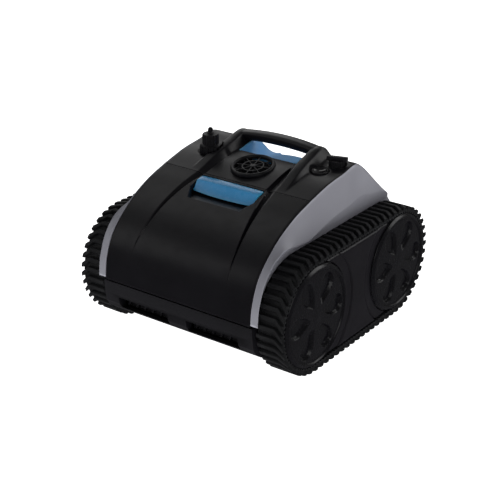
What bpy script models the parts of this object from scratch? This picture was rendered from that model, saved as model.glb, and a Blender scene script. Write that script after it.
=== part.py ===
"""Tracked robotic pool cleaner: curved two-piece cover, grey side panels, two tracks.

Units in the constants are millimetres; every mesh is written in metres, +Z up.
Origin: the ground point under the middle of the two tracks. The intake side faces -Y.
"""
import math

import bmesh
import bpy
from mathutils import Matrix, Vector

MM = 0.001

# ---- overall ----------------------------------------------------------------------------
WHEELBASE = 225.0          # distance between the axles of one track
TIP_R = 87.5               # radius over the treads: half of the track's height
OVERALL_W = 372.0          # over the hubcaps
COVER_W = 265.2            # both covers, edge to edge
BELT_W = 43.5              # width of one belt
FIT = 0.3                  # gap between touching pieces

# ---- body side line, from the front sill over the top to the rear sill -------------------
BODY_FRONT = -(WHEELBASE / 2 + 90.5)
BODY_REAR = WHEELBASE / 2 + 72.5
SILL_Z = 95.0              # lower edge of the covers' straight part
SEAM_Y, SEAM_Z = -57.4, 231.8
CREST_Y, CREST_Z = 58.0, 252.0
BELLY_Z = 30.0             # underside of the chassis
COVER_T = 4.5              # cover wall

# ---- tracks -------------------------------------------------------------------------------
TREADS = 68
TREAD_H = 5.0
BAND_T = 3.5
RUN_GAP = 0.8              # between the belt and the drums
DRUM_T = 4.0
AXLE_R = 5.0
CAP_T = 5.0
FRAME_GAP = 1.6            # between a wheel or belt and the frame between the wheels

# ---- handle, scoop and latch ----------------------------------------------------------------
LEG_IN = COVER_W / 2 - 68.6              # inner side of the handle's legs
LEG_TOP_W = 22.0
LEG_FOOT_W = 16.0
HANDLE_H = 14.5            # handle above the crest
BAR_Y0, BAR_Y1 = 45.0, 67.0
BAR_T = 12.0
SCOOP_HALF = LEG_IN - 10.7
SCOOP_Y0 = 23.5
SCOOP_Z = 237.5
SCOOP_FALL = 0.235
LINER_T = 3.0
LATCH_HALF = LEG_IN - 8.0
LATCH_L = 25.0
HINGE_R = 4.0              # bead along the front cover's hinge
PIN_R = 1.2

# ---- outlet and pump -----------------------------------------------------------------------
OUTLET_Y = -13.0
OUTLET_R = 34.0
OUTLET_TILT = math.radians(8.4)
IMPELLER_R = 23.0
MOTOR_R = 20.0

# ---- small controls ---------------------------------------------------------------------------
BUTTON_X, BUTTON_Y, BUTTON_R = COVER_W / 2 - 34.6, 19.0, 10.0
PORT_X, PORT_Y, PORT_R = COVER_W / 2 - 22.6, 47.5, 12.5
SWIVEL_X, SWIVEL_Y, SWIVEL_R = 42.6 - COVER_W / 2, 0.0, 17.0

# ---- intake -----------------------------------------------------------------------------------
MOUTH_IN, MOUTH_OUT = 17.0, 110.0
MOUTH_Z0, MOUTH_Z1 = 48.0, 67.0
FLAP_PIN_R = 1.2
WALL = 3.0

HALF_BASE = WHEELBASE / 2
AXLE_Z = TIP_R
BELT_OUT = OVERALL_W / 2 - 1.5
BELT_IN = BELT_OUT - BELT_W
BAND_IN = TIP_R - TREAD_H - BAND_T
DRUM_R = BAND_IN - RUN_GAP
COVER_X = COVER_W / 2
PANEL_X = COVER_X + 0.5
SIDE_IN = COVER_X + 0.6
SIDE_OUT = BELT_IN - 5.0

PALETTE = {
    "cover_black": ((0.018, 0.017, 0.021), 0.33, 0.0),
    "base_black": ((0.015, 0.015, 0.018), 0.55, 0.0),
    "panel_grey": ((0.23, 0.23, 0.255), 0.42, 0.0),
    "blue": ((0.06, 0.25, 0.52), 0.38, 0.0),
    "rubber": ((0.012, 0.012, 0.014), 0.72, 0.0),
    "wheel_black": ((0.02, 0.02, 0.025), 0.28, 0.0),
    "frame_dark": ((0.02, 0.02, 0.026), 0.4, 0.0),
    "steel": ((0.55, 0.55, 0.56), 0.3, 1.0),
    "inner_grey": ((0.32, 0.33, 0.34), 0.5, 0.0),
    "board_green": ((0.02, 0.14, 0.06), 0.5, 0.0),
}


# ============================================================================ helpers
def clear_scene():
    for obj in list(bpy.data.objects):
        bpy.data.objects.remove(obj, do_unlink=True)
    for block in (bpy.data.meshes, bpy.data.materials, bpy.data.curves):
        for item in list(block):
            block.remove(item)


def material(node, key):
    colour, rough, metal = PALETTE[key]
    mat = bpy.data.materials.new(node + "_mat")
    mat.use_nodes = True
    bsdf = mat.node_tree.nodes["Principled BSDF"]
    bsdf.inputs["Base Color"].default_value = (*colour, 1.0)
    bsdf.inputs["Roughness"].default_value = rough
    bsdf.inputs["Metallic"].default_value = metal
    mat.diffuse_color = (*colour, 1.0)
    return mat


def make(name, bm, key=None, at=(0, 0, 0), parent=None):
    """An object from a bmesh in millimetres; `at` is the object's own origin, in mm."""
    bmesh.ops.recalc_face_normals(bm, faces=bm.faces)
    bmesh.ops.scale(bm, vec=(MM, MM, MM), verts=bm.verts)
    mesh = bpy.data.meshes.new(name)
    bm.to_mesh(mesh)
    bm.free()
    obj = bpy.data.objects.new(name, mesh)
    bpy.context.scene.collection.objects.link(obj)
    obj.location = Vector(at) * MM
    if parent:
        obj.parent = parent
    if key:
        obj.data.materials.append(material(name, key))
    return obj


def empty(name, at, tilt=0.0):
    obj = bpy.data.objects.new(name, None)
    bpy.context.scene.collection.objects.link(obj)
    obj.location = Vector(at) * MM
    obj.rotation_euler = (tilt, 0.0, 0.0)
    return obj


def prism(outline, x0, x1):
    """A closed (y, z) outline pushed from x0 to x1 by a face extrusion."""
    bm = bmesh.new()
    face = bm.faces.new([bm.verts.new((x0, y, z)) for y, z in outline])
    grown = bmesh.ops.extrude_face_region(bm, geom=[face])
    moved = [v for v in grown["geom"] if isinstance(v, bmesh.types.BMVert)]
    bmesh.ops.translate(bm, vec=(x1 - x0, 0, 0), verts=moved)
    return bm


def block(x0, x1, y0, y1, z0, z1):
    return prism([(y0, z0), (y1, z0), (y1, z1), (y0, z1)], x0, x1)


def turned(profile, steps, axis="Z", phase=0.5):
    """A closed (along, radius) outline spun once round an axis through the origin."""
    bm = bmesh.new()
    verts = [bm.verts.new((r, 0, a)) for a, r in profile]
    edges = [bm.edges.new((verts[i], verts[(i + 1) % len(verts)])) for i in range(len(verts))]
    on_axis = [e for e in edges if all(abs(v.co.x) < 1e-6 for v in e.verts)]
    edges = [e for e in edges if e not in on_axis]
    bmesh.ops.delete(bm, geom=on_axis, context="EDGES_FACES")
    bmesh.ops.rotate(bm, cent=(0, 0, 0), verts=bm.verts,
                     matrix=Matrix.Rotation(phase * math.tau / steps, 3, "Z"))
    bmesh.ops.spin(bm, geom=list(bm.verts) + list(bm.edges), cent=(0, 0, 0), axis=(0, 0, 1),
                   dvec=(0, 0, 0), angle=math.tau, steps=steps, use_merge=True)
    bmesh.ops.remove_doubles(bm, verts=bm.verts, dist=0.001)
    if axis == "X":
        bmesh.ops.rotate(bm, cent=(0, 0, 0), verts=bm.verts,
                         matrix=Matrix.Rotation(math.pi / 2, 3, "Y"))
    return bm


def rod(r, a0, a1, steps=16, axis="Z"):
    return turned([(a0, 0), (a0, r), (a1, r), (a1, 0)], steps, axis)


def tube(r0, r1, a0, a1, steps=24, axis="Z"):
    return turned([(a0, r0), (a0, r1), (a1, r1), (a1, r0)], steps, axis)


def loft(rings):
    """Equal rings of points joined in order by quads, with a flat cap on each end."""
    bm = bmesh.new()
    rows = [[bm.verts.new(p) for p in ring] for ring in rings]
    n = len(rows[0])
    for lower, upper in zip(rows, rows[1:]):
        for i in range(n):
            j = (i + 1) % n
            bm.faces.new((lower[i], lower[j], upper[j], upper[i]))
    bm.faces.new(rows[0][::-1])
    bm.faces.new(rows[-1])
    return bm


def boolean(obj, tool_bm, operation, at=(0, 0, 0), parent=None):
    """Cuts or joins a second solid, applies the modifier and removes the tool."""
    tool = make("tool", tool_bm, at=at, parent=parent)
    tool.hide_render = True
    tool.display_type = "WIRE"
    mod = obj.modifiers.new(operation.title(), "BOOLEAN")
    mod.operation = operation
    mod.solver = "EXACT"
    mod.object = tool
    bpy.context.view_layer.update()
    graph = bpy.context.evaluated_depsgraph_get()
    mesh = bpy.data.meshes.new_from_object(obj.evaluated_get(graph))
    obj.modifiers.clear()
    old = obj.data
    obj.data = mesh
    bpy.data.meshes.remove(old)
    bpy.data.objects.remove(tool, do_unlink=True)


def cut(obj, tool_bm, at=(0, 0, 0), parent=None):
    boolean(obj, tool_bm, "DIFFERENCE", at, parent)


def join(obj, tool_bm, at=(0, 0, 0), parent=None):
    boolean(obj, tool_bm, "UNION", at, parent)


def arc(cy, cz, r, a0, a1, n):
    """Points round (cy, cz) from angle a0 to a1 in degrees, both ends included."""
    out = []
    for i in range(n + 1):
        a = math.radians(a0 + (a1 - a0) * i / n)
        out.append((cy + r * math.cos(a), cz + r * math.sin(a)))
    return out


def smooth(t):
    t = min(1.0, max(0.0, t))
    return t * t * (3 - 2 * t)


# ============================================================================ body line
def catmull(points, per_span):
    """A Catmull-Rom curve through (y, z) points, per_span steps between neighbours."""
    pts = [points[0]] + list(points) + [points[-1]]
    out = []
    for k in range(1, len(pts) - 2):
        p0, p1, p2, p3 = (Vector(p) for p in pts[k - 1:k + 3])
        for i in range(per_span):
            t = i / per_span
            q = 0.5 * (2 * p1 + (p2 - p0) * t + (2 * p0 - 5 * p1 + 4 * p2 - p3) * t * t
                       + (3 * p1 - p0 - 3 * p2 + p3) * t * t * t)
            out.append((q.x, q.y))
    out.append(tuple(points[-1]))
    return out


FRONT_KNOTS = [
    (BODY_FRONT, SILL_Z),
    (BODY_FRONT + 5, SILL_Z + 31),
    (BODY_FRONT + 22, SEAM_Z - 70),
    (BODY_FRONT + 60, SEAM_Z - 36),
    ((BODY_FRONT + SEAM_Y) / 2 + 30, SEAM_Z - 13.5),
    (SEAM_Y, SEAM_Z),
]
REAR_KNOTS = [
    (SEAM_Y, SEAM_Z),
    (OUTLET_Y, SEAM_Z + 10.3),
    (CREST_Y - 30, CREST_Z - 5),
    (CREST_Y, CREST_Z),
    (CREST_Y + 18, CREST_Z - 5.5),
    (CREST_Y + 50, CREST_Z - 35),
    (BODY_REAR - 36, SILL_Z + 79),
    (BODY_REAR - 10, SILL_Z + 40),
    (BODY_REAR, SILL_Z),
]
FRONT_LINE = catmull(FRONT_KNOTS, 3)
REAR_LINE = catmull(REAR_KNOTS, 3)
BODY_LINE = FRONT_LINE + REAR_LINE[1:]


def surface_z(y):
    """Height of the body line at y, above the sill."""
    for (y0, z0), (y1, z1) in zip(BODY_LINE, BODY_LINE[1:]):
        if y0 <= y <= y1:
            return z0 + (z1 - z0) * (y - y0) / (y1 - y0)
    return SILL_Z


def inward(line, depth):
    """The line moved towards the inside of the body by depth, point by point."""
    out = []
    for i, (y, z) in enumerate(line):
        y0, z0 = line[max(i - 1, 0)]
        y1, z1 = line[min(i + 1, len(line) - 1)]
        d = Vector((y1 - y0, z1 - z0)).normalized()
        out.append((y + d.y * depth, z - d.x * depth))
    return out


def between(line, y0, y1):
    """Part of the body line from y0 to y1, with exact end points."""
    mid = [p for p in line if y0 + 0.5 < p[0] < y1 - 0.5]
    return [(y0, surface_z(y0))] + mid + [(y1, surface_z(y1))]


# ============================================================================ covers
HINGE_Y = BODY_FRONT + HINGE_R
HINGE_Z = SILL_Z
LATCH_Y = SEAM_Y - 9.0
LATCH_Z = surface_z(LATCH_Y) - 3.6


def groove(side, y0, y1, x0, x1, w0, w1, d0, d1, n=6):
    """A channel that follows the body line and narrows to nothing; a tool for a cut."""
    rings = []
    for i in range(n + 1):
        t = i / n
        y = y0 + (y1 - y0) * t
        x = side * (x0 + (x1 - x0) * t ** 1.3)
        w = w0 + (w1 - w0) * t
        d = d0 + (d1 - d0) * t
        z = surface_z(y)
        dz = (surface_z(y + 1) - surface_z(y - 1)) / 2
        k = 1 / math.hypot(1, dz)
        up = Vector((0, -dz * k, k))
        p = Vector((x, y, z))
        across = Vector((side, 0, 0))
        ring = [p + across * w / 2 + up * 4, p - across * w / 2 + up * 4,
                p - across * w * 0.42 - up * d, p + across * w * 0.3 - up * d]
        rings.append(ring)
    return loft(rings)


def front_cover():
    outer = [p for p in FRONT_LINE[:-1]] + [(SEAM_Y - FIT / 2, surface_z(SEAM_Y - FIT / 2))]
    inner = inward(outer, COVER_T)[2:]
    inner[-1] = (SEAM_Y - FIT / 2, inner[-1][1])
    bead = arc(HINGE_Y, HINGE_Z, HINGE_R, 78, -170, 10)
    axis = empty("front_cover_axis", (0, HINGE_Y, HINGE_Z))
    cover = make("front_cover", prism(outer + inner[::-1] + bead, -COVER_X, COVER_X),
                 "cover_black")
    # housing of the latch well, under the seam
    top = between(FRONT_LINE, SEAM_Y - 60, SEAM_Y - FIT - 0.6)
    limit = SEAM_Y - FIT - 0.6
    well = inward(top, 2.0) + inward(top, 17.0)[::-1]
    well = [(min(y, limit), z) for y, z in well]
    join(cover, prism(well, -LATCH_HALF - 7, LATCH_HALF + 7))
    # latch well and finger recess
    well_y0 = LATCH_Y - LATCH_L - 0.5
    line = between(FRONT_LINE, well_y0, LATCH_Y + 3.9)
    cut(cover, prism(inward(line, -12) + inward(line, 11.5)[::-1],
                     -LATCH_HALF - 0.5, LATCH_HALF + 0.5))
    line = between(FRONT_LINE, well_y0 - 19, well_y0 + 3)
    floor = inward(line, 11.0)[::-1]
    floor[-1] = inward(line, 4.0)[0]
    cut(cover, prism(inward(line, -12) + floor, -LATCH_HALF + 10, LATCH_HALF - 10))
    for side in (-1, 1):
        cut(cover, groove(side, SEAM_Y + 6, BODY_FRONT + 12, LEG_IN - 5, LEG_IN + 22, 16, 1.5, 3.2, 0.8))
    cut(cover, rod(PIN_R + FIT, -COVER_X - 5, COVER_X + 5, 12, "X"), (0, HINGE_Y, HINGE_Z))
    for side in (-1, 1):
        x0, x1 = sorted((side * (COVER_X - 10), side * (COVER_X + 5)))
        cut(cover, block(x0, x1, HINGE_Y - 9, HINGE_Y + 9, HINGE_Z - 9, HINGE_Z + 6))
    cut(cover, rod(PIN_R + FIT, -LATCH_HALF - 12, LATCH_HALF + 12, 12, "X"),
        (0, LATCH_Y, LATCH_Z))
    reseat(cover, axis)
    pin = make("cover_hinge_pin", rod(PIN_R, -COVER_X + 0.8, COVER_X - 0.8, 12, "X"), "steel",
               (0, HINGE_Y, HINGE_Z))
    return cover, pin


def reseat(obj, axis):
    """Parents a world-placed piece to an empty on its joint's axis without moving it."""
    bpy.context.view_layer.update()
    obj.data.transform(axis.matrix_world.inverted())
    obj.location = (0, 0, 0)
    obj.parent = axis


def latch():
    """Blue flap: a boss round its pin and a crowned plate reaching forward over the well."""
    line = between(FRONT_LINE, LATCH_Y - LATCH_L, LATCH_Y)
    plate = inward(line, -0.6) + inward(line, 6.0)[::-1]
    axis = empty("latch_axis", (0, LATCH_Y, LATCH_Z))
    obj = make("latch", prism(plate, -LATCH_HALF, LATCH_HALF), "blue")
    join(obj, rod(3.4, -LATCH_HALF, LATCH_HALF, 16, "X"), (0, LATCH_Y, LATCH_Z))
    cut(obj, rod(PIN_R + FIT, -LATCH_HALF - 9, LATCH_HALF + 9, 12, "X"), (0, LATCH_Y, LATCH_Z))
    reseat(obj, axis)
    make("latch_pin", rod(PIN_R, -LATCH_HALF - 5, LATCH_HALF + 5, 12, "X"), "steel",
         (0, LATCH_Y, LATCH_Z))


def scoop_floor(y):
    return SCOOP_Z - SCOOP_FALL * (y - SCOOP_Y0)


def handle_leg(side):
    """Ridge that grows out of the cover at the seam and carries one end of the handle bar."""
    rings = []
    stops = [(SEAM_Y + 1.5, -1.0), (-35, 2.0), (-10, 6.5), (15, 11.0), (BAR_Y0, HANDLE_H),
             (BAR_Y1 - 4, HANDLE_H - 1.0), (BAR_Y1 + 6, 7.0), (CREST_Y + 30, 1.0),
             (CREST_Y + 36, -2.5)]
    for y, h in stops:
        t = smooth((y - SEAM_Y) / (CREST_Y - SEAM_Y))
        w = LEG_FOOT_W + (LEG_TOP_W - LEG_FOOT_W) * t
        z = surface_z(y)
        xi, xo = side * LEG_IN, side * (LEG_IN + w)
        rings.append([(xi - side * 0.6, y, z - 3.6), (xo + side * 3, y, z - 3.6),
                      (xo, y, z + h - 1.2), (xo - side * 2, y, z + h),
                      (xi + side * 1.5, y, z + h), (xi, y, z + h - 1.0)])
    return loft(rings)


def handle_bar():
    """Crowned bar between the legs, an octagon in section."""
    rings = []
    top = CREST_Z + HANDLE_H
    for i in range(7):
        t = i / 6 * 2 - 1
        x = t * (LEG_IN + 5)
        crown = 4.0 * (1 - t * t)
        bow = 4.0 * (1 - t * t)
        y0, y1 = BAR_Y0 + bow * 0.4, BAR_Y1 + bow
        z0, z1 = top - BAR_T + crown * 0.6, top + crown
        rings.append([(x, y0 + 4, z0), (x, y1 - 4, z0), (x, y1, z0 + 3.5), (x, y1, z1 - 4),
                      (x, y1 - 5, z1), (x, y0 + 4, z1), (x, y0, z1 - 3), (x, y0, z0 + 3)])
    return loft(rings)


def top_cover():
    outer = [(SEAM_Y + FIT / 2, surface_z(SEAM_Y + FIT / 2))] + REAR_LINE[1:]
    inner = inward(outer, COVER_T)
    inner[0] = (SEAM_Y + FIT / 2, inner[0][1])
    cover = make("top_cover", prism(outer + inner[::-1], -COVER_X, COVER_X), "cover_black")
    for side in (-1, 1):
        join(cover, handle_leg(side))
    low = inward([(scoop_y, scoop_floor(scoop_y)) for scoop_y in (SCOOP_Y0, BODY_REAR)],
                 LINER_T + FIT)
    tool = [(SCOOP_Y0 - FIT, low[0][1]), low[1], (BODY_REAR, CREST_Z + 40),
            (SCOOP_Y0 - FIT, CREST_Z + 40)]
    cut(cover, prism(tool, -SCOOP_HALF - FIT, SCOOP_HALF + FIT))
    join(cover, handle_bar())
    for side in (-1, 1):
        cut(cover, groove(side, SCOOP_Y0 - 5, SEAM_Y - 8, LEG_IN - 6.5, LEG_IN - 5, 9, 12, 3.4, 3.4))
    # outlet seat and throat, square to the tilted outlet axis
    axis = empty("outlet_axis", (0, OUTLET_Y, surface_z(OUTLET_Y)), OUTLET_TILT)
    cut(cover, rod(OUTLET_R + 0.5, -1.7, 20, 24), (0, 0, 0), axis)
    cut(cover, rod(OUTLET_R - 4, -20, 5, 24), (0, 0, 0), axis)
    # seats and holes of the button, the charging port and the swivel
    for x, y, seat_r, hole_r in ((BUTTON_X, BUTTON_Y, BUTTON_R + 3.4, BUTTON_R + 0.6),
                                 (PORT_X, PORT_Y, PORT_R + 0.5, 8.3),
                                 (SWIVEL_X, SWIVEL_Y, SWIVEL_R + 0.5, 6.6)):
        seat = seat_level(y, seat_r)
        cut(cover, rod(seat_r, 0, 30, 20), (x, y, seat))
        cut(cover, rod(hole_r, -12, 5, 16), (x, y, seat))
    return cover, axis


def seat_level(y, r):
    """Height of a level seat of radius r: just under the lowest surface it meets."""
    return min(surface_z(y - r), surface_z(y + r)) - 0.6


def handle_liner():
    """Channel under the handle bar: a falling floor, two side walls and a front lip."""
    ys = SCOOP_Y0
    ye = ys
    while surface_z(ye) > scoop_floor(ye) - LINER_T and ye < BODY_REAR:
        ye += 0.25
    line = between(REAR_LINE, ys, ye)
    under = inward([(ys, scoop_floor(ys)), (ye, scoop_floor(ye))], LINER_T)
    outline = line[:-1] + [(ye, surface_z(ye) + 0.4), (ys, under[0][1])]
    obj = make("handle_liner", prism(outline, -SCOOP_HALF, SCOOP_HALF), "blue")
    hollow = [(ys + LINER_T, scoop_floor(ys + LINER_T)), (BODY_REAR, scoop_floor(BODY_REAR)),
              (BODY_REAR, CREST_Z + 40), (ys + LINER_T, CREST_Z + 40)]
    cut(obj, prism(hollow, -SCOOP_HALF + LINER_T, SCOOP_HALF - LINER_T))


# ============================================================================ side panels
def track_reach(y, z):
    """Distance of a point outside the line over the tread tips."""
    dy = max(abs(y) - HALF_BASE, 0.0)
    return math.hypot(dy, z - AXLE_Z) - TIP_R


def side_panel(side, name):
    """Grey shell beside the cover: slopes out to a crease, then back in to the belt."""
    line = [(y, z) for y, z in BODY_LINE]
    drop = []
    for i, (y, z) in enumerate(line):
        rise = smooth((y - BODY_FRONT - 30) / 105)
        fall = 1 - smooth((y - CREST_Y - 8) / (BODY_REAR - CREST_Y - 50))
        drop.append(0.3 + 45.5 * rise * fall)
    rings = []
    for (y, z), fall_in in zip(line, drop):
        p = Vector((y, z))
        core = Vector((min(max(y, -HALF_BASE), HALF_BASE), AXLE_Z))
        n = (core - p).normalized()
        reach = track_reach(y, z)
        out = 1.0 if y < 0 else smooth((reach - 5.0) / 10)
        crease = 0.3 + max(0.0, min(fall_in, reach - 5.0)) if y > 0 else fall_in
        xb = BELT_IN - 1.2 + out * 6.4
        deep = max(crease + 1.7, reach - 0.9)
        lip = deep + 10.0
        wall = BELT_IN - 1.2
        cells = [(PANEL_X, 0.0), (xb, crease), (xb, crease + 1.4), (wall, deep), (wall, lip),
                 (wall - 2.2, lip), (wall - 2.2, 0.32 * crease + 4.0), (PANEL_X, 4.0)]
        rings.append([(side * x, p.x + n.x * k, p.y + n.y * k) for x, k in cells])
    return make(name, loft(rings), "panel_grey")


# ============================================================================ chassis
def chassis():
    nose = [(BODY_FRONT + 0.5, SILL_Z - HINGE_R - 0.6), (BODY_FRONT + 1.5, SILL_Z - 22),
            (BODY_FRONT + 4, SILL_Z - 39), (BODY_FRONT + 10, SILL_Z - 49),
            (BODY_FRONT + 22, BELLY_Z + 7), (BODY_FRONT + 38, BELLY_Z + 1.5),
            (BODY_FRONT + 55, BELLY_Z)]
    tail = [(BODY_REAR - 38, BELLY_Z), (BODY_REAR - 20, BELLY_Z + 4),
            (BODY_REAR - 7, BELLY_Z + 16), (BODY_REAR - 0.5, BELLY_Z + 36),
            (BODY_REAR, SILL_Z - HINGE_R - 0.6)]
    outline = nose + tail
    inner = [(y + WALL + 1, z) if y < 0 else (y - WALL - 1, z) for y, z in outline]
    floor = BELLY_Z + WALL
    inner = [(y, max(z, floor)) for y, z in inner]
    inner[0] = (inner[0][0], SILL_Z + 40)
    inner[-1] = (inner[-1][0], SILL_Z + 40)
    inner = [p for i, p in enumerate(inner) if i == 0 or p != inner[i - 1]]
    base = make("chassis_base", prism(outline, -SIDE_OUT, SIDE_OUT), "base_black")
    cut(base, prism(inner, -SIDE_IN, SIDE_IN))
    # side plates behind the belts, inset from the body line
    top = AXLE_Z + TIP_R - 7.5
    inset = [p for p in inward(BODY_LINE, 10.0) if p[1] < top - 4]
    front = [p for p in inset if p[0] < 0]
    rear = [p for p in inset if p[0] > 0]
    front[0] = (front[0][0], SILL_Z - 40)
    rear[-1] = (rear[-1][0], SILL_Z - 40)
    front.append((front[-1][0] + (top - front[-1][1]) * 0.9, top))
    rear.insert(0, (rear[0][0] - (top - rear[0][1]) * 0.9, top))
    plate = front + rear
    for side in (-1, 1):
        x0, x1 = sorted((side * SIDE_IN, side * SIDE_OUT))
        join(base, prism(plate, x0, x1))
    # intake mouths, with a solid tunnel round each
    y_back = BODY_FRONT + 17
    for side in (-1, 1):
        x0, x1 = sorted((side * (MOUTH_IN - 2.5), side * (MOUTH_OUT + 2.5)))
        tunnel = [(BODY_FRONT + 6, MOUTH_Z1 + 3), (BODY_FRONT + 7, MOUTH_Z0 + 6),
                  (BODY_FRONT + 12, MOUTH_Z0 - 3), (y_back, MOUTH_Z0 - 3),
                  (y_back, MOUTH_Z1 + 3)]
        join(base, prism(tunnel, x0, x1))
        x0, x1 = sorted((side * MOUTH_IN, side * MOUTH_OUT))
        cut(base, block(x0, x1, BODY_FRONT - 5, y_back + 6, MOUTH_Z0, MOUTH_Z1))
        # ears that hold the pins of the hanging flap
        for xe in (MOUTH_IN - 0.7, MOUTH_OUT + 0.7):
            x0, x1 = sorted((side * (xe - 1.8), side * (xe + 1.8)))
            join(base, block(x0, x1, y_back - 1, y_back + 8, MOUTH_Z1 - 3.2, MOUTH_Z1 + 4.4))
        x0, x1 = sorted((side * (MOUTH_IN - 9), side * (MOUTH_OUT + 9)))
        cut(base, rod(FLAP_PIN_R + FIT, x0, x1, 12, "X"), (0, y_back + 4.0, MOUTH_Z1 + 0.8))
    # hinge lugs for the front cover
    for side in (-1, 1):
        x0, x1 = sorted((side * (COVER_X - 9), side * (COVER_X - 1)))
        lug = [(HINGE_Y - 1.0, SILL_Z - 12), (HINGE_Y + 7, SILL_Z - 12), (HINGE_Y + 4.5, SILL_Z + 3),
               (HINGE_Y + 2, SILL_Z + 4.5), (HINGE_Y - 1.0, SILL_Z + 4.5)]
        join(base, prism(lug, x0, x1))
    cut(base, rod(PIN_R + FIT, -COVER_X + 0.3, COVER_X - 0.3, 12, "X"), (0, HINGE_Y, HINGE_Z))
    # axle holes
    for y in (-HALF_BASE, HALF_BASE):
        cut(base, rod(9.3, -SIDE_OUT - 9, SIDE_OUT + 9, 20, "X"), (0, y, AXLE_Z))
    return base


def inlet_flap(side, name):
    """Hanging plate behind one mouth, with slanted ribs; it turns about its top edge."""
    width = MOUTH_OUT - MOUTH_IN - 3
    centre = side * (MOUTH_IN + MOUTH_OUT) / 2
    y_back = BODY_FRONT + 17
    y, z = y_back + 4.0, MOUTH_Z1 + 0.8
    low = MOUTH_Z0 + 0.5 - z
    axis = empty(name + "_axis", (centre, y, z))
    obj = make(name, block(-width / 2, width / 2, -1.0, 1.0, low, 1.0), "base_black",
               parent=axis)
    join(obj, rod(2.0, -width / 2, width / 2, 12, "X"), (centre, y, z))
    join(obj, rod(FLAP_PIN_R, -width / 2 - 2.8, width / 2 + 2.8, 12, "X"), (centre, y, z))
    count = 6
    for i in range(count):
        x = centre + (i - (count - 1) / 2) * width / count
        bm = bmesh.new()
        ring = []
        for dx, dz in ((-1.6, low + 1), (1.6, low + 1), (1.6 + 5, -3.5), (-1.6 + 5, -3.5)):
            ring.append(bm.verts.new((x + dx - 2.5, y - 3.0, z + dz)))
        face = bm.faces.new(ring)
        grown = bmesh.ops.extrude_face_region(bm, geom=[face])
        moved = [v for v in grown["geom"] if isinstance(v, bmesh.types.BMVert)]
        bmesh.ops.translate(bm, vec=(0, 3.2, 0), verts=moved)
        join(obj, bm)


def filter_basket():
    """Open-topped debris basket under the front cover, with slots in its back wall."""
    y0, y1 = BODY_FRONT + 31, SEAM_Y - 6
    z0 = MOUTH_Z1 + 9
    outline = [(y0, z0), (y1, z0), (y1, SEAM_Z - 30), (y1 - 22, SEAM_Z - 36),
               (y0 + 24, SEAM_Z - 74), (y0, SEAM_Z - 92)]
    half = COVER_X - 30
    obj = make("filter_basket", prism(outline, -half, half), "inner_grey")
    hollow = [(y0 + 2.5, z0 + 2.5), (y1 - 2.5, z0 + 2.5), (y1 - 2.5, SEAM_Z),
              (y0 + 2.5, SEAM_Z)]
    cut(obj, prism(hollow, -half + 2.5, half - 2.5))
    for i in range(5):
        x = (i - 2) * half * 0.36
        cut(obj, block(x - 11, x + 11, y1 - 6, y1 + 4, z0 + 22, SEAM_Z - 62))
    # bail: a strap across the mouth of the basket
    join(obj, block(-half + 0.5, half - 0.5, y1 - 30, y1 - 22, SEAM_Z - 46, SEAM_Z - 42))


# ============================================================================ tracks
def belt(side, name):
    """Endless band with straight tread bars; wheels run inside it."""
    run = WHEELBASE
    mid_r = TIP_R - TREAD_H
    length = math.tau * mid_r + 2 * run

    def at(s, r):
        s = s % length
        bend = math.pi * mid_r
        if s < run:
            return (-HALF_BASE + s, AXLE_Z + r)
        s -= run
        if s < bend:
            a = math.pi / 2 - s / mid_r
            return (HALF_BASE + r * math.cos(a), AXLE_Z + r * math.sin(a))
        s -= bend
        if s < run:
            return (HALF_BASE - s, AXLE_Z - r)
        s -= run
        a = -math.pi / 2 - s / mid_r
        return (-HALF_BASE + r * math.cos(a), AXLE_Z + r * math.sin(a))

    pitch = length / TREADS
    outline = []
    for i in range(TREADS):
        s = (i + 0.5) * pitch
        outline += [at(s - 3.4, mid_r), at(s - 2.2, TIP_R), at(s + 2.2, TIP_R), at(s + 3.4, mid_r)]
    inner = [at(i / 40 * length, BAND_IN) for i in range(40)]
    inner = arc(HALF_BASE, AXLE_Z, BAND_IN, 90, -90, 16)
    inner += arc(-HALF_BASE, AXLE_Z, BAND_IN, -90, -270, 16)
    x0, x1 = sorted((side * BELT_IN, side * BELT_OUT))
    obj = make(name, prism(outline, x0, x1), "rubber")
    cut(obj, prism(inner, x0 - 5, x1 + 5))


def wheel(side, y, name, bore):
    """Drum with a web and a hub, open to the outside; the hubcap closes it."""
    a, b = BELT_IN + 2.5, BELT_OUT - 4.0
    web = b - 15
    outline = [(web - 12, bore), (b - 3, bore), (b - 3, 11), (web, 11), (web, DRUM_R - DRUM_T),
               (b, DRUM_R - DRUM_T), (b, DRUM_R), (a, DRUM_R), (a, DRUM_R - DRUM_T),
               (web - 3.5, DRUM_R - DRUM_T), (web - 3.5, 11), (web - 12, 11)]
    outline = [(side * x, r) for x, r in outline]
    return make(name, turned(outline, 20, "X"), "wheel_black", (0, y, AXLE_Z))


def hubcap(side, y, name):
    """Dished disc with a raised rim and six petals; the face height follows cos(6 angle)."""
    x1 = OVERALL_W / 2
    x0 = x1 - CAP_T
    rim = DRUM_R - 1.2
    steps = 24
    levels = [(x0, 0.0), (x0, rim), (x1 - 1.6, rim), (x1, rim - 2.2), (x1, rim - 4.6),
              (x1 - 2.4, rim - 7), (x1 - 1.6, rim * 0.6), (x1 - 2.0, rim * 0.28),
              (x1 - 1.2, 0.0)]
    wave = {6: 1.1, 7: 0.7}
    bm = turned(levels, steps, "Z", 0.0)
    for v in bm.verts:
        r = math.hypot(v.co.x, v.co.y)
        angle = math.atan2(v.co.y, v.co.x)
        for k, height in wave.items():
            if abs(r - levels[k][1]) < 0.05 and v.co.z > x0 + 0.5:
                v.co.z += height * math.cos(6 * angle)
    bmesh.ops.rotate(bm, cent=(0, 0, 0), verts=bm.verts,
                     matrix=Matrix.Rotation(side * math.pi / 2, 3, "Y"))
    return make(name, bm, "wheel_black", (0, y, AXLE_Z))


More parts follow.
